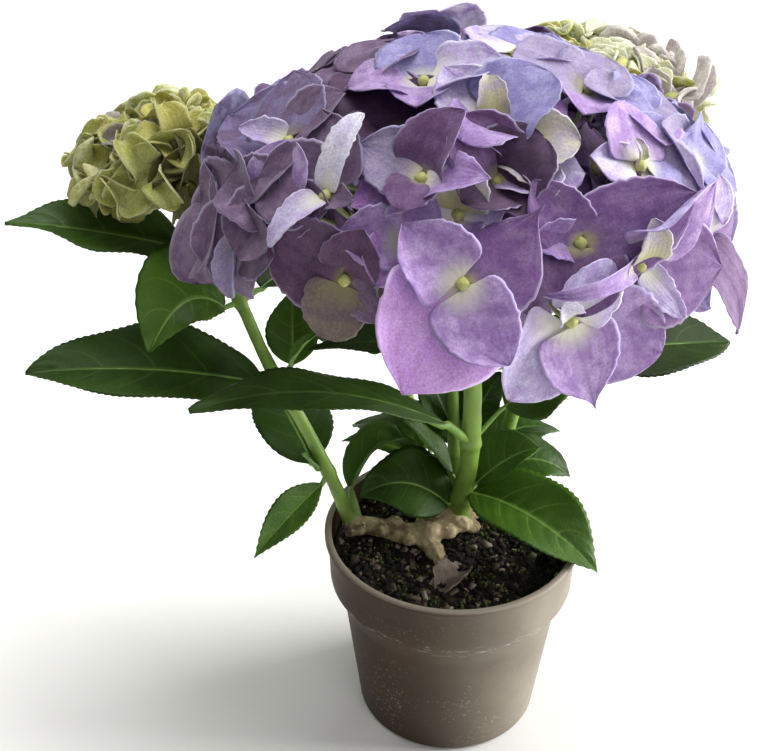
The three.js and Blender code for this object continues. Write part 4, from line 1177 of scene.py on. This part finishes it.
# Florets along a spiral from the dome's top down, where no other stands within the spacing
def spiralFlorets(name, head, items, fill, spacing, seed, depth=1.0, size=1.0, clearance=headRule["clearance"],
                  behind=-math.inf):
    rule = headRule
    middle, reach = np.array(head["middle"], float), np.array(head["reach"], float) * depth
    draw = seeded(seed)
    lowest = math.sin(math.radians(head["lowest"]))
    added = []
    for k in range(fill):
        azimuth = (k * rule["spiral"]) % 360
        elevation = math.degrees(math.asin(mix(1, lowest, (k + 0.5) / fill)))
        draws = [draw() for _ in range(6)]
        spot = facing(azimuth, elevation) * reach + middle
        if spot[1] < behind or any(np.linalg.norm(item["middle"] - spot) < spacing for item in items + added):
            continue
        if not clearOfLilac(name, head, spot, clearance):
            continue
        front = rule["openFrom"] < azimuth < rule["openTo"]
        if name == "lilac" and depth == 1 and elevation < rule["openBelow"] and front:
            continue
        outward = unit(facing(azimuth, elevation) / reach)
        added.append({
            "middle": spot, "face": turned(outward, mix(*rule["turn"], draws[0]), mix(*rule["tilt"], draws[1])),
            "roll": draws[2] * 90, "inner": mix(*head["inner"], draws[3]) * size,
            "outer": mix(*head["outer"], draws[4]) * size, "cup": mix(*rule["cup"], draws[5]), "placed": False,
            "under": depth < 1,
        })
    return added


# The green heads are lower and narrower than the dome that the CAD gives them, and lean: shares of the reach,
# slope
greenShare = {"green_left": ((0.92, 1, 0.6), 0.16), "green_right": ((0.86, 1, 0.5), -0.08)}


def floretsOf(name, head):
    middle, reach = np.array(head["middle"], float), np.array(head["reach"], float)
    items = []
    for number, (azimuth, elevation, turnA, turnE, roll, inner, outer, cup) in enumerate(head["placed"]):
        outward = unit(facing(azimuth, elevation) / reach)
        spot = facing(azimuth, elevation) * reach * placedDepths.get(number, 1) + middle
        items.append({
            "middle": spot, "face": turned(outward, turnA, turnE), "roll": roll, "inner": inner, "outer": outer,
            "cup": cup, "placed": True, "under": False,
        })
    items += spiralFlorets(name, head, items, head["fill"], head["spacing"], head["seed"])
    for number, item in enumerate(items):
        item["rows"] = shownSepals.get(number, []) if name == "lilac" else []
    for layer in finer[name]:
        near = items if layer["depth"] > 0.8 else []
        items = items + [item | {"rows": []} for item in spiralFlorets(name, head, near, **layer)]
    loose = seeded(head["seed"] + 900)
    for item in items:
        if name != "lilac":
            shares, slope = greenShare[name]
            off = (item["middle"] - middle) * np.array(shares) * loose(*headRule["greenDepth"])
            item["middle"] = middle + off + np.array((0, 0, slope * off[0]))
            stretch = loose(*headRule["greenStretch"])
            item["inner"] *= stretch
            item["outer"] *= stretch
        height = (item["middle"][2] - middle[2]) / (head["reach"][2] * headRule["topFrom"])
        share = mix(1, headRule["topShare"], clamp(height, 0, 1))
        item["inner"] *= share
        item["outer"] *= share
    return items


# One sepal: a broad, cupped and waved sheet with a narrow tip. It bends along its length and across, and
# folds along its keel. The first two sepals of a floret lie above the others, and a fifth on top.
sepalShape = {
    "base": 1.4, "innerRise": 1.1, "layers": (1.4, 1.4, 0, 0, 1.8), "innerLift": {"lilac": 1, "green": 0.5},
    "sink": 0.5, "notch": 0.3, "pucker": 0.16, "puckerLength": 34,
}


def sepal(origin, face, along, length, look, slots, rows, cols):
    shape = sepalShape
    side = np.cross(along, face)
    x = np.linspace(0, 1, rows)
    u = mix(x, (1 - np.cos(math.pi * x)) / 2, 0.45)
    s = np.linspace(-1, 1, cols)
    s = mix(s, np.sin(math.pi / 2 * s), 0.35)
    swell = (1 - np.exp(-u / look["claw"])) * (1 - np.clip(u, 0, 0.999) ** 4) ** look["tip"]
    ripple = np.sin(u * length * 1.9 + look["phase"]) + np.sin(u * length * 1.1 + 2 * look["phase"])
    notches = shape["notch"] * ripple
    # Middle line by small steps of its own slope
    slope = np.radians(look["cup"] * (1.4 - 1.6 * u) + look["curl"] * np.clip(u - 0.5, 0, 1) * 2)
    step = np.diff(u, prepend=0) * (length - shape["base"])
    reach = shape["base"] + np.cumsum(np.cos(slope) * step)
    rise = np.cumsum(np.sin(slope) * step)
    normal = face * np.cos(slope)[:, None] - along * np.sin(slope)[:, None]
    twist = np.radians(look["twist"] * u)[:, None]
    turnedSide = side * np.cos(twist) + normal * np.sin(twist)
    turnedNormal = normal * np.cos(twist) - side * np.sin(twist)
    middle = origin + along * reach[:, None] + face * rise[:, None]
    # Heart-shaped foot: near it the margins run back past the eye
    lobe = look["lobe"] * length * smooth(u, 0.0, 0.1) * (1 - smooth(u, 0.1, 0.5))
    # Across: a keel fold, then an even bend towards the rim
    fold = math.radians(look["fold"])
    y, z = np.zeros((rows, cols)), np.zeros((rows, cols))
    for sign, width, bend in ((-1, look["left"], look["bendLeft"]), (1, look["right"], look["bendRight"])):
        on = (s * sign) >= 0
        q = np.abs(s[on])[None, :]
        half = (width * length * swell + shape["base"] * 0.8 * (1 - u) + 0.12)[:, None]
        half = half + (notches * swell * smooth(u, 0.15, 0.4))[:, None] * q ** 3
        a = math.radians(bend or 0.1) * smooth(u, 0.0, 0.35)[:, None] + 1e-4
        f = fold * smooth(u, 0.02, 0.3)[:, None]
        y[:, on] = sign * half * (np.sin(f + a * q) - np.sin(f)) / a
        z[:, on] = half * (np.cos(f) - np.cos(f + a * q)) / a
    z = z * mix(np.clip(np.abs(s) / 0.3, 0, 1)[None, :], 1.0, 0.5)
    ruffle = np.abs(s)[None, :] ** 2.5 * np.sin(look["waves"] * 2 * math.pi * u[:, None]
                                                + look["phase"] + np.sign(s)[None, :] * 1.3)
    z = z + look["wave"] * ruffle * smooth(u, 0.1, 0.5)[:, None]
    pucker = np.sin(s[None, :] * 7 + look["phase"]) + np.sin(s[None, :] * 11 + u[:, None] * 5)
    z = z + shape["pucker"] * pucker * smooth(u, 0.1, 0.45)[:, None] * length / shape["puckerLength"]
    points = middle[:, None, :] + turnedSide[:, None, :] * y[..., None]
    points = points + turnedNormal[:, None, :] * z[..., None]
    points = points - along * (lobe[:, None] * s[None, :] ** 2)[..., None]
    return thinBody(points, look["thick"], slots)


def grownLook(item, inner, draw, kind):
    cup = item["cup"] if inner else item["cup"] * 0.5
    if kind == "green":
        width = draw(0.42, 0.58)
        return {
            "left": width, "right": width, "claw": 0.10, "tip": draw(0.3, 0.7), "phase": draw(0, 6.28),
            "cup": cup + draw(-5, 45), "curl": draw(-70, 50), "twist": draw(-35, 35), "fold": draw(0, 25),
            "bendLeft": draw(0, 95), "bendRight": draw(0, 95), "waves": draw(0.8, 1.8), "wave": draw(0.2, 0.9),
            "thick": 0.9, "lobe": 0.0,
        }
    width = draw(0.48, 0.58)
    return {
        "left": width, "right": width, "claw": 0.10, "tip": draw(0.5, 1.3), "phase": draw(0, 6.28),
        "cup": cup + draw(-8, 22), "curl": draw(-55, 35), "twist": draw(-25, 25), "fold": draw(-6, 14),
        "bendLeft": draw(-35, 60), "bendRight": draw(-35, 60), "waves": draw(1.0, 2.2), "wave": draw(0.5, 1.5),
        "thick": 0.42, "lobe": 0.05,
    }


# How far some placed florets stand from the dome's middle, as a share of its reach
placedDepths = {
    0: 1.04, 1: 1.03, 2: 1.03, 3: 0.95, 5: 0.94, 7: 0.90, 9: 0.92, 10: 1.03, 11: 0.97, 12: 0.92,
    15: 0.84, 25: 0.88,
}
# The sepals of the florets in view, by the floret's number: angle from up towards the left, length, tint,
# left and right half width as a share of the length, cup, left and right bend, sharpness of the tip, and
# where they aren't 0, the tip's curl and the twist
shownSepals = {
    0: [(52, 29, "lilac", 0.52, 0.46, 10, 62, 6, 1.5, -6), (-143, 31, "lilac", 0.38, 0.52, -2, -2, 24, 0.9),
        (-39, 37, "violet", 0.27, 0.54, -4, -22, -16, 2.9, 12),
        (158, 42, "pink", 0.58, 0.58, 0, -20, 66, 1.25)],
    1: [(-163, 37, "lilac", 0.4, 0.42, -5, 17, 30, 2.3), (-34, 25, "pale", 0.5, 0.46, 10, 23, -12, 0.8, -20),
        (139, 34.5, "pale", 0.55, 0.5, 2, -12, 40, 0.9), (-117, 40, "lilac", 0.5, 0.5, -6, 20, -14, 0.7, 10),
        (24, 14, "white", 0.34, 0.34, 24, 60, 60, 0.8, 60)],
    2: [(-104, 36, "violet", 0.5, 0.6, 6, 20, -3, 1.2), (-3, 20, "cream", 0.26, 0.36, 44, 10, 50, 0.9, -10),
        (91, 46, "lilac", 0.07, 0.1, 24, 0, 60, 1.2, -66), (-53, 40, "lilac", 0.5, 0.44, 18, 84, -37, 1.4),
        (-146, 27, "pale", 0.16, 0.2, 10, 50, -32, 1.0)],
    3: [(-70, 42, "violet", 0.34, 0.44, 13, 8, -30, 1.0, 8), (36, 27, "violet", 0.42, 0.36, 10, 10, 30, 1.0),
        (83, 17, "lilac", 0.4, 0.46, 22, 46, 40, 0.6), (-96, 14.5, "mauve", 0.5, 0.52, 14, 30, 20, 0.7),
        (176, 25, "deep", 0.62, 0.62, 2, 20, 20, 0.7)],
    4: [(-54, 28, "blue", 0.6, 0.6, 18, 10, 55, 0.7), (-2, 17, "cream", 0.34, 0.4, 32, 70, 60, 0.7),
        (140, 21, "lilac", 0.6, 0.6, 48, 20, 20, 0.6), (30, 28, "pale", 0.5, 0.42, 5, 20, 35, 1.2)],
    5: [(-33, 32, "rose", 0.3, 0.44, 6, -60, -15, 1.4), (-100, 22, "cream", 0.56, 0.6, 16, 50, 16, 0.8),
        (-150, 21, "cream", 0.4, 0.6, 0, -7, 28, 0.8), (60, 18, "lilac", 0.5, 0.5, 25, 30, 30, 1.0)],
    6: [(-20, 25, "lilac", 0.6, 0.52, 10, 20, -4, 0.8), (5, 11, "cream", 0.24, 0.24, 60, 60, 60, 0.8),
        (-140, 29, "haze", 0.62, 0.6, -2, 30, -2, 0.7), (62, 22, "pale", 0.5, 0.32, 8, 17, 60, 1.0),
        (-85, 35, "blue", 0.48, 0.42, -4, -4, -20, 1.2)],
    7: [(-60, 23, "paintedShadeWine", 0.62, 0.62, 50, 20, 20, 0.6), (30, 27, "deep", 0.54, 0.54, 34, 20, 40, 0.9),
        (120, 22, "paintedShadeWine", 0.58, 0.58, 42, 20, 20, 0.7), (-150, 20, "paintedShadeWine", 0.54, 0.54, 30, 20, 20, 0.7)],
    8: [(73, 26.5, "haze", 0.44, 0.52, 6, 18, 33, 1.2), (-83, 25, "lilac", 0.4, 0.38, 14, -10, 50, 1.6),
        (123, 26, "rose", 0.32, 0.55, -2, 0, -9, 1.2), (-20, 28, "deep", 0.5, 0.32, 30, 40, 70, 1.0),
        (170, 15, "deep", 0.6, 0.6, 20, 20, 20, 0.7)],
    9: [(-8, 18, "cream", 0.56, 0.56, 30, 40, 44, 0.7), (98, 19, "pale", 0.36, 0.42, 0, 0, 0, 1.2),
        (-77, 17, "pale", 0.32, 0.45, 9, 60, 8, 1.2), (180, 14, "lilac", 0.6, 0.6, 20, 20, 20, 0.7)],
    10: [(97, 31, "mauve", 0.5, 0.54, 8, -5, 25, 0.6, -10),
         (4, 33, "white", 0.13, 0.15, 24, 45, 35, 0.7, -30, -45), (40, 37, "mauve", 0.45, 0.42, 3, 20, 10, 1.4),
         (-83, 14, "mauve", 0.34, 0.34, 24, 28, 34, 1.0), (168, 27, "pale", 0.17, 0.2, 26, 20, 50, 0.9, -20)],
    11: [(168, 23, "brown", 0.46, 0.52, 6, 10, 28, 0.6), (66, 31, "paintedShadePlum", 0.56, 0.54, -4, -3, 14, 0.8),
         (-129, 22, "mauve", 0.24, 0.3, 16, 0, 0, 1.4), (-20, 22, "paintedShadePlum", 0.5, 0.5, 20, 20, 20, 1.0)],
    12: [(86, 23, "lilac", 0.44, 0.5, 6, 22, 18, 1.0), (-30, 18, "lilac", 0.6, 0.6, 17, 20, 60, 0.8),
         (150, 18, "rose", 0.5, 0.6, 17, 27, 28, 0.8), (-100, 20, "deep", 0.5, 0.5, 10, 20, 20, 1.2)],
    13: [(98, 43, "dusk", 0.42, 0.5, 0, 60, 10, 1.1), (52, 36, "dusk", 0.5, 0.46, 5, 10, 10, 1.3),
         (-15, 27, "mauve", 0.6, 0.4, 10, 20, 30, 0.9), (192, 28, "mauve", 0.6, 0.6, 5, 20, 10, 0.5, -10),
         (118, 20, "pale", 0.26, 0.3, 30, 60, 50, 0.8, 40)],
    14: [(100, 38, "mauve", 0.6, 0.62, -4, 10, 22, 0.5), (40, 30, "mauve", 0.6, 0.6, 4, 10, 10, 0.7),
         (160, 25, "mauve", 0.84, 0.84, 8, 10, 0, 0.4, 0, 30), (-85, 30, "mauve", 0.44, 0.5, 8, 30, 20, 0.6),
         (206, 26, "haze", 0.24, 0.26, 20, 60, 50, 0.5, -10, 24)],
    15: [(60, 30, "paintedShadeWine", 0.56, 0.56, 25, 20, 20, 0.8), (-30, 28, "paintedShadeWine", 0.56, 0.56, 25, 20, 20, 1.0),
         (150, 28, "paintedShadePlum", 0.56, 0.5, 30, 20, 20, 0.8), (-120, 26, "deep", 0.56, 0.5, 25, 20, 20, 1.0)],
    16: [(-12, 37, "pale", 0.5, 0.46, 22, 20, 10, 1.3, -20), (-62, 31, "haze", 0.56, 0.5, 20, 20, 20, 0.8, -20),
         (150, 28, "lilac", 0.52, 0.5, 8, 20, 10, 1.2), (-120, 30, "blue", 0.52, 0.5, 10, 20, 20, 1.2)],
    17: [(35, 29, "blue", 0.58, 0.54, 12, 20, 30, 0.8), (-60, 30, "pale", 0.5, 0.5, 14, 30, 20, 1.0, 12),
         (125, 28, "lilac", 0.55, 0.5, 16, 25, 15, 1.0, -20), (-150, 24, "lilac", 0.5, 0.5, 22, 20, 20, 1.0)],
    18: [(60, 25, "mauve", 0.6, 0.6, 8, 20, 10, 0.7), (0, 21, "mauve", 0.6, 0.6, 14, 10, 20, 0.8),
         (115, 24, "mauve", 0.6, 0.56, 6, 10, 10, 0.8), (215, 18, "paintedShadePlum", 0.56, 0.56, 12, 20, 20, 1.0)],
    19: [(195, 45, "deep", 0.26, 0.3, 36, -10, 20, 1.2, -10), (-10, 26, "pale", 0.5, 0.5, 12, 20, 20, 1.2),
         (-85, 32, "violet", 0.5, 0.5, 8, 10, 20, 1.4), (80, 24, "pale", 0.5, 0.5, 8, 20, 10, 1.0)],
    20: [(30, 26, "pale", 0.6, 0.6, 10, 20, 10, 0.8), (-28, 26, "blue", 0.54, 0.54, 8, 10, 20, 1.0),
         (105, 24, "blue", 0.6, 0.54, 10, 20, 20, 0.9), (-105, 24, "lilac", 0.54, 0.54, 12, 20, 20, 1.0)],
    21: [(14, 30, "haze", 0.62, 0.6, 8, 10, 20, 0.5), (-82, 26, "haze", 0.56, 0.54, 10, 20, 10, 0.9),
         (200, 26, "blue", 0.56, 0.56, 6, 20, 20, 1.0), (108, 23, "lilac", 0.56, 0.56, 12, 20, 20, 0.9)],
    22: [(228, 28, "blue", 0.5, 0.46, 8, 20, 30, 1.1), (-78, 25, "blue", 0.46, 0.5, 14, 50, 20, 0.9),
         (152, 26, "lilac", 0.54, 0.54, 6, 20, 20, 1.0), (30, 24, "haze", 0.54, 0.5, 16, 20, 40, 0.9)],
    23: [(208, 22, "haze", 0.56, 0.56, 6, 20, 10, 0.9), (-75, 19, "blue", 0.54, 0.54, 10, 20, 20, 0.9),
         (130, 26, "lilac", 0.56, 0.56, 8, 20, 20, 0.9), (30, 23, "haze", 0.56, 0.54, 10, 20, 20, 0.9)],
    24: [(95, 27, "mauve", 0.54, 0.5, 12, 60, 10, 0.6), (10, 22, "lilac", 0.7, 0.7, 14, 20, 20, 0.7),
         (165, 25, "mauve", 0.6, 0.62, 14, 30, 40, 0.6), (-75, 26, "mauve", 0.36, 0.5, 8, 40, 10, 0.9)],
    26: [(-45, 19, "haze", 0.56, 0.56, 8, 20, 20, 0.9), (0, 19, "pale", 0.56, 0.56, 8, 20, 20, 0.9),
         (100, 20, "blue", 0.56, 0.56, 8, 20, 20, 0.9), (225, 15, "blue", 0.56, 0.56, 8, 20, 20, 0.9)],
    27: [(20, 15, "mauve", 0.6, 0.6, 8, 20, 20, 0.8), (-45, 17, "paintedShadePlum", 0.6, 0.6, 10, 20, 20, 0.8),
         (135, 23, "mauve", 0.56, 0.56, 8, 20, 20, 0.8), (225, 22, "paintedShadePlum", 0.56, 0.56, 8, 20, 20, 0.8)],
    28: [(0, 22, "mauve", 0.6, 0.6, 4, 20, 20, 0.8), (65, 26, "mauve", 0.6, 0.6, 4, 20, 20, 0.8),
         (135, 24, "paintedShadePlum", 0.6, 0.6, 8, 20, 20, 0.8), (225, 16, "paintedShadePlum", 0.6, 0.6, 8, 20, 20, 0.8)],
    29: [(95, 27, "haze", 0.5, 0.46, 8, 50, 10, 1.0), (0, 12, "blue", 0.6, 0.6, 8, 20, 20, 0.8),
         (155, 28, "blue", 0.52, 0.5, 8, 20, 20, 1.0), (-90, 14, "lilac", 0.6, 0.6, 8, 20, 20, 0.8)],
    30: [(-32, 18, "dusk", 0.6, 0.6, 6, 10, 10, 1.1), (40, 15, "lilac", 0.6, 0.6, 6, 20, 20, 0.8),
         (-95, 23, "dusk", 0.56, 0.56, 4, 20, 20, 0.9), (180, 22, "paintedShadePlum", 0.56, 0.56, 4, 20, 20, 0.8)],
    32: [(0, 14, "blue", 0.6, 0.6, 8, 20, 20, 0.8), (70, 22, "blue", 0.56, 0.56, 8, 20, 20, 0.8),
         (130, 26, "lilac", 0.52, 0.5, 8, 20, 20, 1.0), (-90, 20, "lilac", 0.6, 0.6, 8, 20, 20, 0.8)],
    33: [(-38, 33, "dusk", 0.52, 0.5, 2, 10, 10, 1.1), (-92, 27, "mauve", 0.58, 0.58, 0, 10, 10, 0.5),
         (10, 22, "dusk", 0.6, 0.6, 4, 10, 20, 0.8), (-140, 26, "mauve", 0.6, 0.6, 0, 10, 10, 0.5)],
    35: [(-172, 34, "mauve", 0.66, 0.66, 20, 10, 10, 0.4, -20, 60),
         (-120, 31, "mauve", 0.6, 0.6, 2, 10, 10, 0.5, 0, 30),
         (146, 29, "mauve", 0.66, 0.66, 16, 10, 10, 0.4, 0, 60),
         (-40, 24, "dusk", 0.6, 0.6, 6, 10, 20, 0.6, 0, -40)],
}


def placedLook(row, draw):
    keys = ("left", "right", "cup", "bendLeft", "bendRight", "tip", "curl", "twist")
    look = dict(zip(keys, row[3:] + (0, 0)))
    return look | {"claw": 0.07, "phase": draw(0, 6.28), "fold": draw(-2, 6), "waves": draw(1.0, 1.8),
                   "wave": draw(0.3, 0.8), "thick": 0.42, "lobe": 0.06}


# The bud at a floret's eye: round, with four lobes, and a little flat
budShape = {"squash": 0.85, "rise": 0.45, "sides": 12, "lobes": 0.09}
budRadii = {"big": 2.3, "lilac": 2.0, "green": 1.4}
sepalGrids = {"big": (27, 17), "lilac": (14, 11), "green": (12, 9)}  # rows and columns of a sepal's sheet


def eyeBud(item, radius):
    shape = budShape
    heights = np.array([-1, -0.8, -0.45, 0, 0.45, 0.78, 0.95, 1.0])
    around = np.sqrt(1 - np.clip(np.abs(heights), 0, 0.985) ** 2)
    rises = heights * radius * shape["squash"] + radius * shape["rise"]
    points = item["middle"] + np.outer(rises, item["face"])
    up = np.array((0, 0, 1.0)) if item["face"][2] < 0.98 else np.array((0, 1.0, 0))
    return tube(points, around * radius, shape["sides"], 0, shape["lobes"], up)


# A head's stalk, its branches, and each floret with its own stalk, its sepals and the bud at its eye
def headParts(name, head, kind, tints, draw):
    rule = headRule
    middle, hub = np.array(head["middle"], float), np.array(head["hub"], float)
    thick = head["stemRadius"]
    end = np.array(stems[head["stem"]][-1][:3], float)
    stalks = [tube([end, mix(end, hub, 0.5), hub + unit(hub - end) * 1.5], [thick, thick, thick * 0.9], 12)]
    tips = []
    for k in range(rule["branches"] + 1):
        direction = np.array((0, 0, 1.0))
        if k < rule["branches"]:
            direction = facing(360 * k / rule["branches"], rule["branchRise"])
        tip = direction * np.array(head["reach"]) * head["branchReach"] + middle
        tips.append(tip)
        foot = hub - np.array([0, 0, thick / 2])
        bow = np.array([0, 0, -rule["branchSag"] * np.linalg.norm(tip - foot)])
        path = smoothPath([foot, mix(foot, tip, 0.5) + bow, tip], 4)
        radii = np.linspace(thick * rule["footShare"], thick * rule["tipShare"], len(path))
        stalks.append(tube(path, radii, 8))
    used = [0] * len(tips)
    sepals, buds = [], []
    for item in floretsOf(name, head):
        reaches = [np.linalg.norm(tip - item["middle"]) for tip in tips]
        near = reaches.index(min(reaches))
        share = min(rule["rootFirst"] + rule["rootStep"] * used[near], rule["rootLast"])
        used[near] += 1
        root = mix(tips[near], hub, share)
        face = item["face"]
        reference = np.array((0, 1.0, 0)) if face[2] > 0.98 else np.array((0, 0, 1.0))
        up = unit(reference - face * face.dot(reference))
        left = np.cross(face, up)
        tint = tints(item, draw)
        big = kind == "lilac" and item["placed"]
        rows, cols = sepalGrids["big" if big else kind]
        grown = (1, 3, 0, 2)  # the outer pair, then the inner one
        for k, row in enumerate(item["rows"] or grown):
            if item["rows"]:
                angle, length, lift, number = row[0], row[1], sepalShape["layers"][k], lilacNumbers[row[2]]
                look = placedLook(row, draw)
            else:
                inner = row % 2 == 0
                angle, length = item["roll"] + 90 * row + draw(-9, 9), item["inner" if inner else "outer"]
                lift, number = sepalShape["innerLift"][kind] * inner, tint
                look = grownLook(item, inner, draw, kind)
            along = up * math.cos(math.radians(angle)) + left * math.sin(math.radians(angle))
            origin = item["middle"] + face * (lift * sepalShape["innerRise"] - sepalShape["sink"])
            sepals.append(sepal(origin, face, along, length, look, [number * 2, number * 2 + 1], rows, cols))
        stalkEnd = item["middle"] - face * rule["stalkShort"]
        bendReach = min(np.linalg.norm(root - stalkEnd) * rule["stalkBend"], rule["longestBend"])
        bend = item["middle"] - face * bendReach
        path = smoothPath([root, mix(root, bend, 0.5), bend, stalkEnd], 3)
        radii = np.linspace(*rule["stalkRadii"], len(path)) * (1 if kind == "lilac" else rule["greenStalk"])
        stalks.append(tube(path, radii))
        buds.append(eyeBud(item, budRadii["big" if big else kind]))
    return sepals, stalks, buds


# Tint: main colour, second colour in patches, eye, rim, and how far the eye's halo reaches. The rim colour is
# partly a painted highlight.
lilacTints = {
    "rose": ("#ab7bbf", "#c8a2d6", "#dfddc0", "#e2d6f5", 0.36),
    "lilac": ("#a483bd", "#c3a8d8", "#e4e3cf", "#d6cdf6", 0.40),
    "violet": ("#84609a", "#997aab", "#bdb292", "#d3c4e8", 0.22),
    # Pink is partly the sepal's own pinker hue and partly painted light: a bright tint for a sepal in full
    # light
    "pink": ("#d8a9ea", "#dfb8ef", "#e6e3cb", "#efe4fb", 0.30),
    "blue": ("#9188bf", "#a8a2d1", "#dcdbc4", "#d2d4f4", 0.32),
    "haze": ("#998cb0", "#aa9dbb", "#d0cdb0", "#bcbbe6", 0.34),
    "dusk": ("#887ba8", "#775e84", "#a09684", "#bebae2", 0.28),
    "pale": ("#bca8d6", "#d6cdeb", "#ecebda", "#ece9f7", 0.55),
    "deep": ("#6f4d7b", "#836390", "#b9b286", "#baa8d6", 0.26),
    "cream": ("#c8c3b0", "#bcb2c4", "#d3d297", "#e6e4ee", 0.72),
    "mauve": ("#73597a", "#8a7290", "#a9a18c", "#bdb0d4", 0.30),
    "white": ("#d8d3e8", "#ebe8f3", "#ecebda", "#f1eff8", 0.40),
    "brown": ("#84766a", "#79676c", "#9a936c", "#a597a0", 0.45),
    # Wine and plum are painted shade: dark tints for the florets and sepals deep in the head's recesses
    "paintedShadeWine": ("#452b48", "#573b5c", "#7d7650", "#c4b3e0", 0.22),
    "paintedShadePlum": ("#5b3d5e", "#6c4c6e", "#8f8a5c", "#ab98c8", 0.22),
}
greenTints = {
    "beige": ("#bdb3b4", "#c9c1ba", "#cfcfae", "#dedacf", 0.4),
    # The moss tint is painted shade: a dark olive for the low front florets on the right of the left head
    "moss": ("#5c5a28", "#6c6832", "#7f7d45", "#8d8a58", 0.4),
    "olive": ("#b7b259", "#c5c170", "#c9c982", "#dadaa6", 0.4),
    "lime": ("#b6bb62", "#c6c984", "#cdd08a", "#e0e2ba", 0.5),
    "grey": ("#a0979a", "#b1a797", "#bdbb80", "#cbc5ba", 0.6),
    "white": ("#d5d7b0", "#dfe0c6", "#d3d98f", "#ecedd8", 0.5),
}


# A face and a back for each tint. The back is paler than the face.
def tintSkins(kind, tints):
    skins = []
    for name, (ground, patches, halo, edge, haloReach) in tints.items():
        skins.append(sepalMaterial(f"{kind}_sepal_face_{name}", (ground, patches, halo, edge, haloReach)))
        back = (edge, ground, halo, edge, haloReach * 0.7)
        skins.append(sepalMaterial(f"{kind}_sepal_back_{name}", back, True))
    return skins


lilacNumbers = {name: k for k, name in enumerate(lilacTints)}
greenNumbers = {name: k for k, name in enumerate(greenTints)}


# Where the heads change colour
tintPlaces = {
    "blueAbove": 300, "mauveLeftOf": -45, "paintedShadeRightOf": -122, "paintedShadeBefore": 50, "paintedShadeBelow": 276,
    "paleRightOf": 75,
}


def lilacTint(item, draw):
    pick = draw()
    high = item["middle"][2] > tintPlaces["blueAbove"]
    names = ["blue", "lilac", "mauve", "pale", "blue"] if high else ["lilac", "rose", "rose", "blue", "deep"]
    if item["middle"][0] < tintPlaces["mauveLeftOf"]:
        names = ["mauve", "mauve", "deep", "lilac", "mauve"]
    # Florets of the under layer take darker tints: painted shade beneath the top layer
    if item["under"]:
        names = ["deep", "paintedShadePlum", "violet", "paintedShadePlum", "deep"]
    return lilacNumbers[names[int(pick * 5) % 5]]


def greenLeftTint(item, draw):
    pick = draw()
    x, y, z = item["middle"]
    # Low florets at the front right of this head take the dark moss tint: painted shade
    if x > tintPlaces["paintedShadeRightOf"] and y < tintPlaces["paintedShadeBefore"] and z < tintPlaces["paintedShadeBelow"]:
        return greenNumbers["moss"]
    return greenNumbers["grey" if pick < 0.1 else "olive" if pick < 0.72 else "lime"]


def greenRightTint(item, draw):
    pick = draw()
    if item["middle"][0] > tintPlaces["paleRightOf"]:
        return greenNumbers["white" if pick < 0.65 else "beige" if pick < 0.85 else "lime"]
    return greenNumbers["white" if pick < 0.4 else "olive" if pick < 0.55 else "lime"]


# Flower stalk: smooth, pale green skin with a soft gloss, flecked with mauve
stalkSkin = mottledMaterial("flower_stalk_skin", "#a9b27a", "#8f9f63", "#7c6f7a", (5 * mm, 2 * mm, 0.5 * mm),
                            0.5, 0.08 * mm, 0.2)
# Flower bud: firm yellow-green skin with a soft gloss and fine dots
budSkin = mottledMaterial("flower_bud_skin", "#b9bb76", "#a0a55a", "#7d8440", (2 * mm, 0.9 * mm, 0.4 * mm),
                          0.5, 0.1 * mm, 0.25)


def buildHead(name, kind, skins, tints, pieces, seed):
    node = f"flower_head_{name}"
    sepals, stalks, buds = headParts(name, heads[name], kind, tints, seeded(seed))
    each = math.ceil(len(sepals) / pieces)
    for k in range(pieces):
        makePiece(f"sepals_{name}_{k + 1}", sepals[k * each:(k + 1) * each], skins, [node])
    makePiece(f"flower_stalks_{name}", stalks, [stalkSkin], [node])
    makePiece(f"flower_buds_{name}", buds, [budSkin], [node])
    print(node, len(sepals), "sepals")


lilacSkins = tintSkins("lilac", lilacTints)
greenSkins = tintSkins("green", greenTints)
buildHead("lilac", "lilac", lilacSkins, lilacTint, 4, 101)
buildHead("green_left", "green", greenSkins, greenLeftTint, 1, 103)
buildHead("green_right", "green", greenSkins, greenRightTint, 1, 107)
print("flower heads")

low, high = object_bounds()
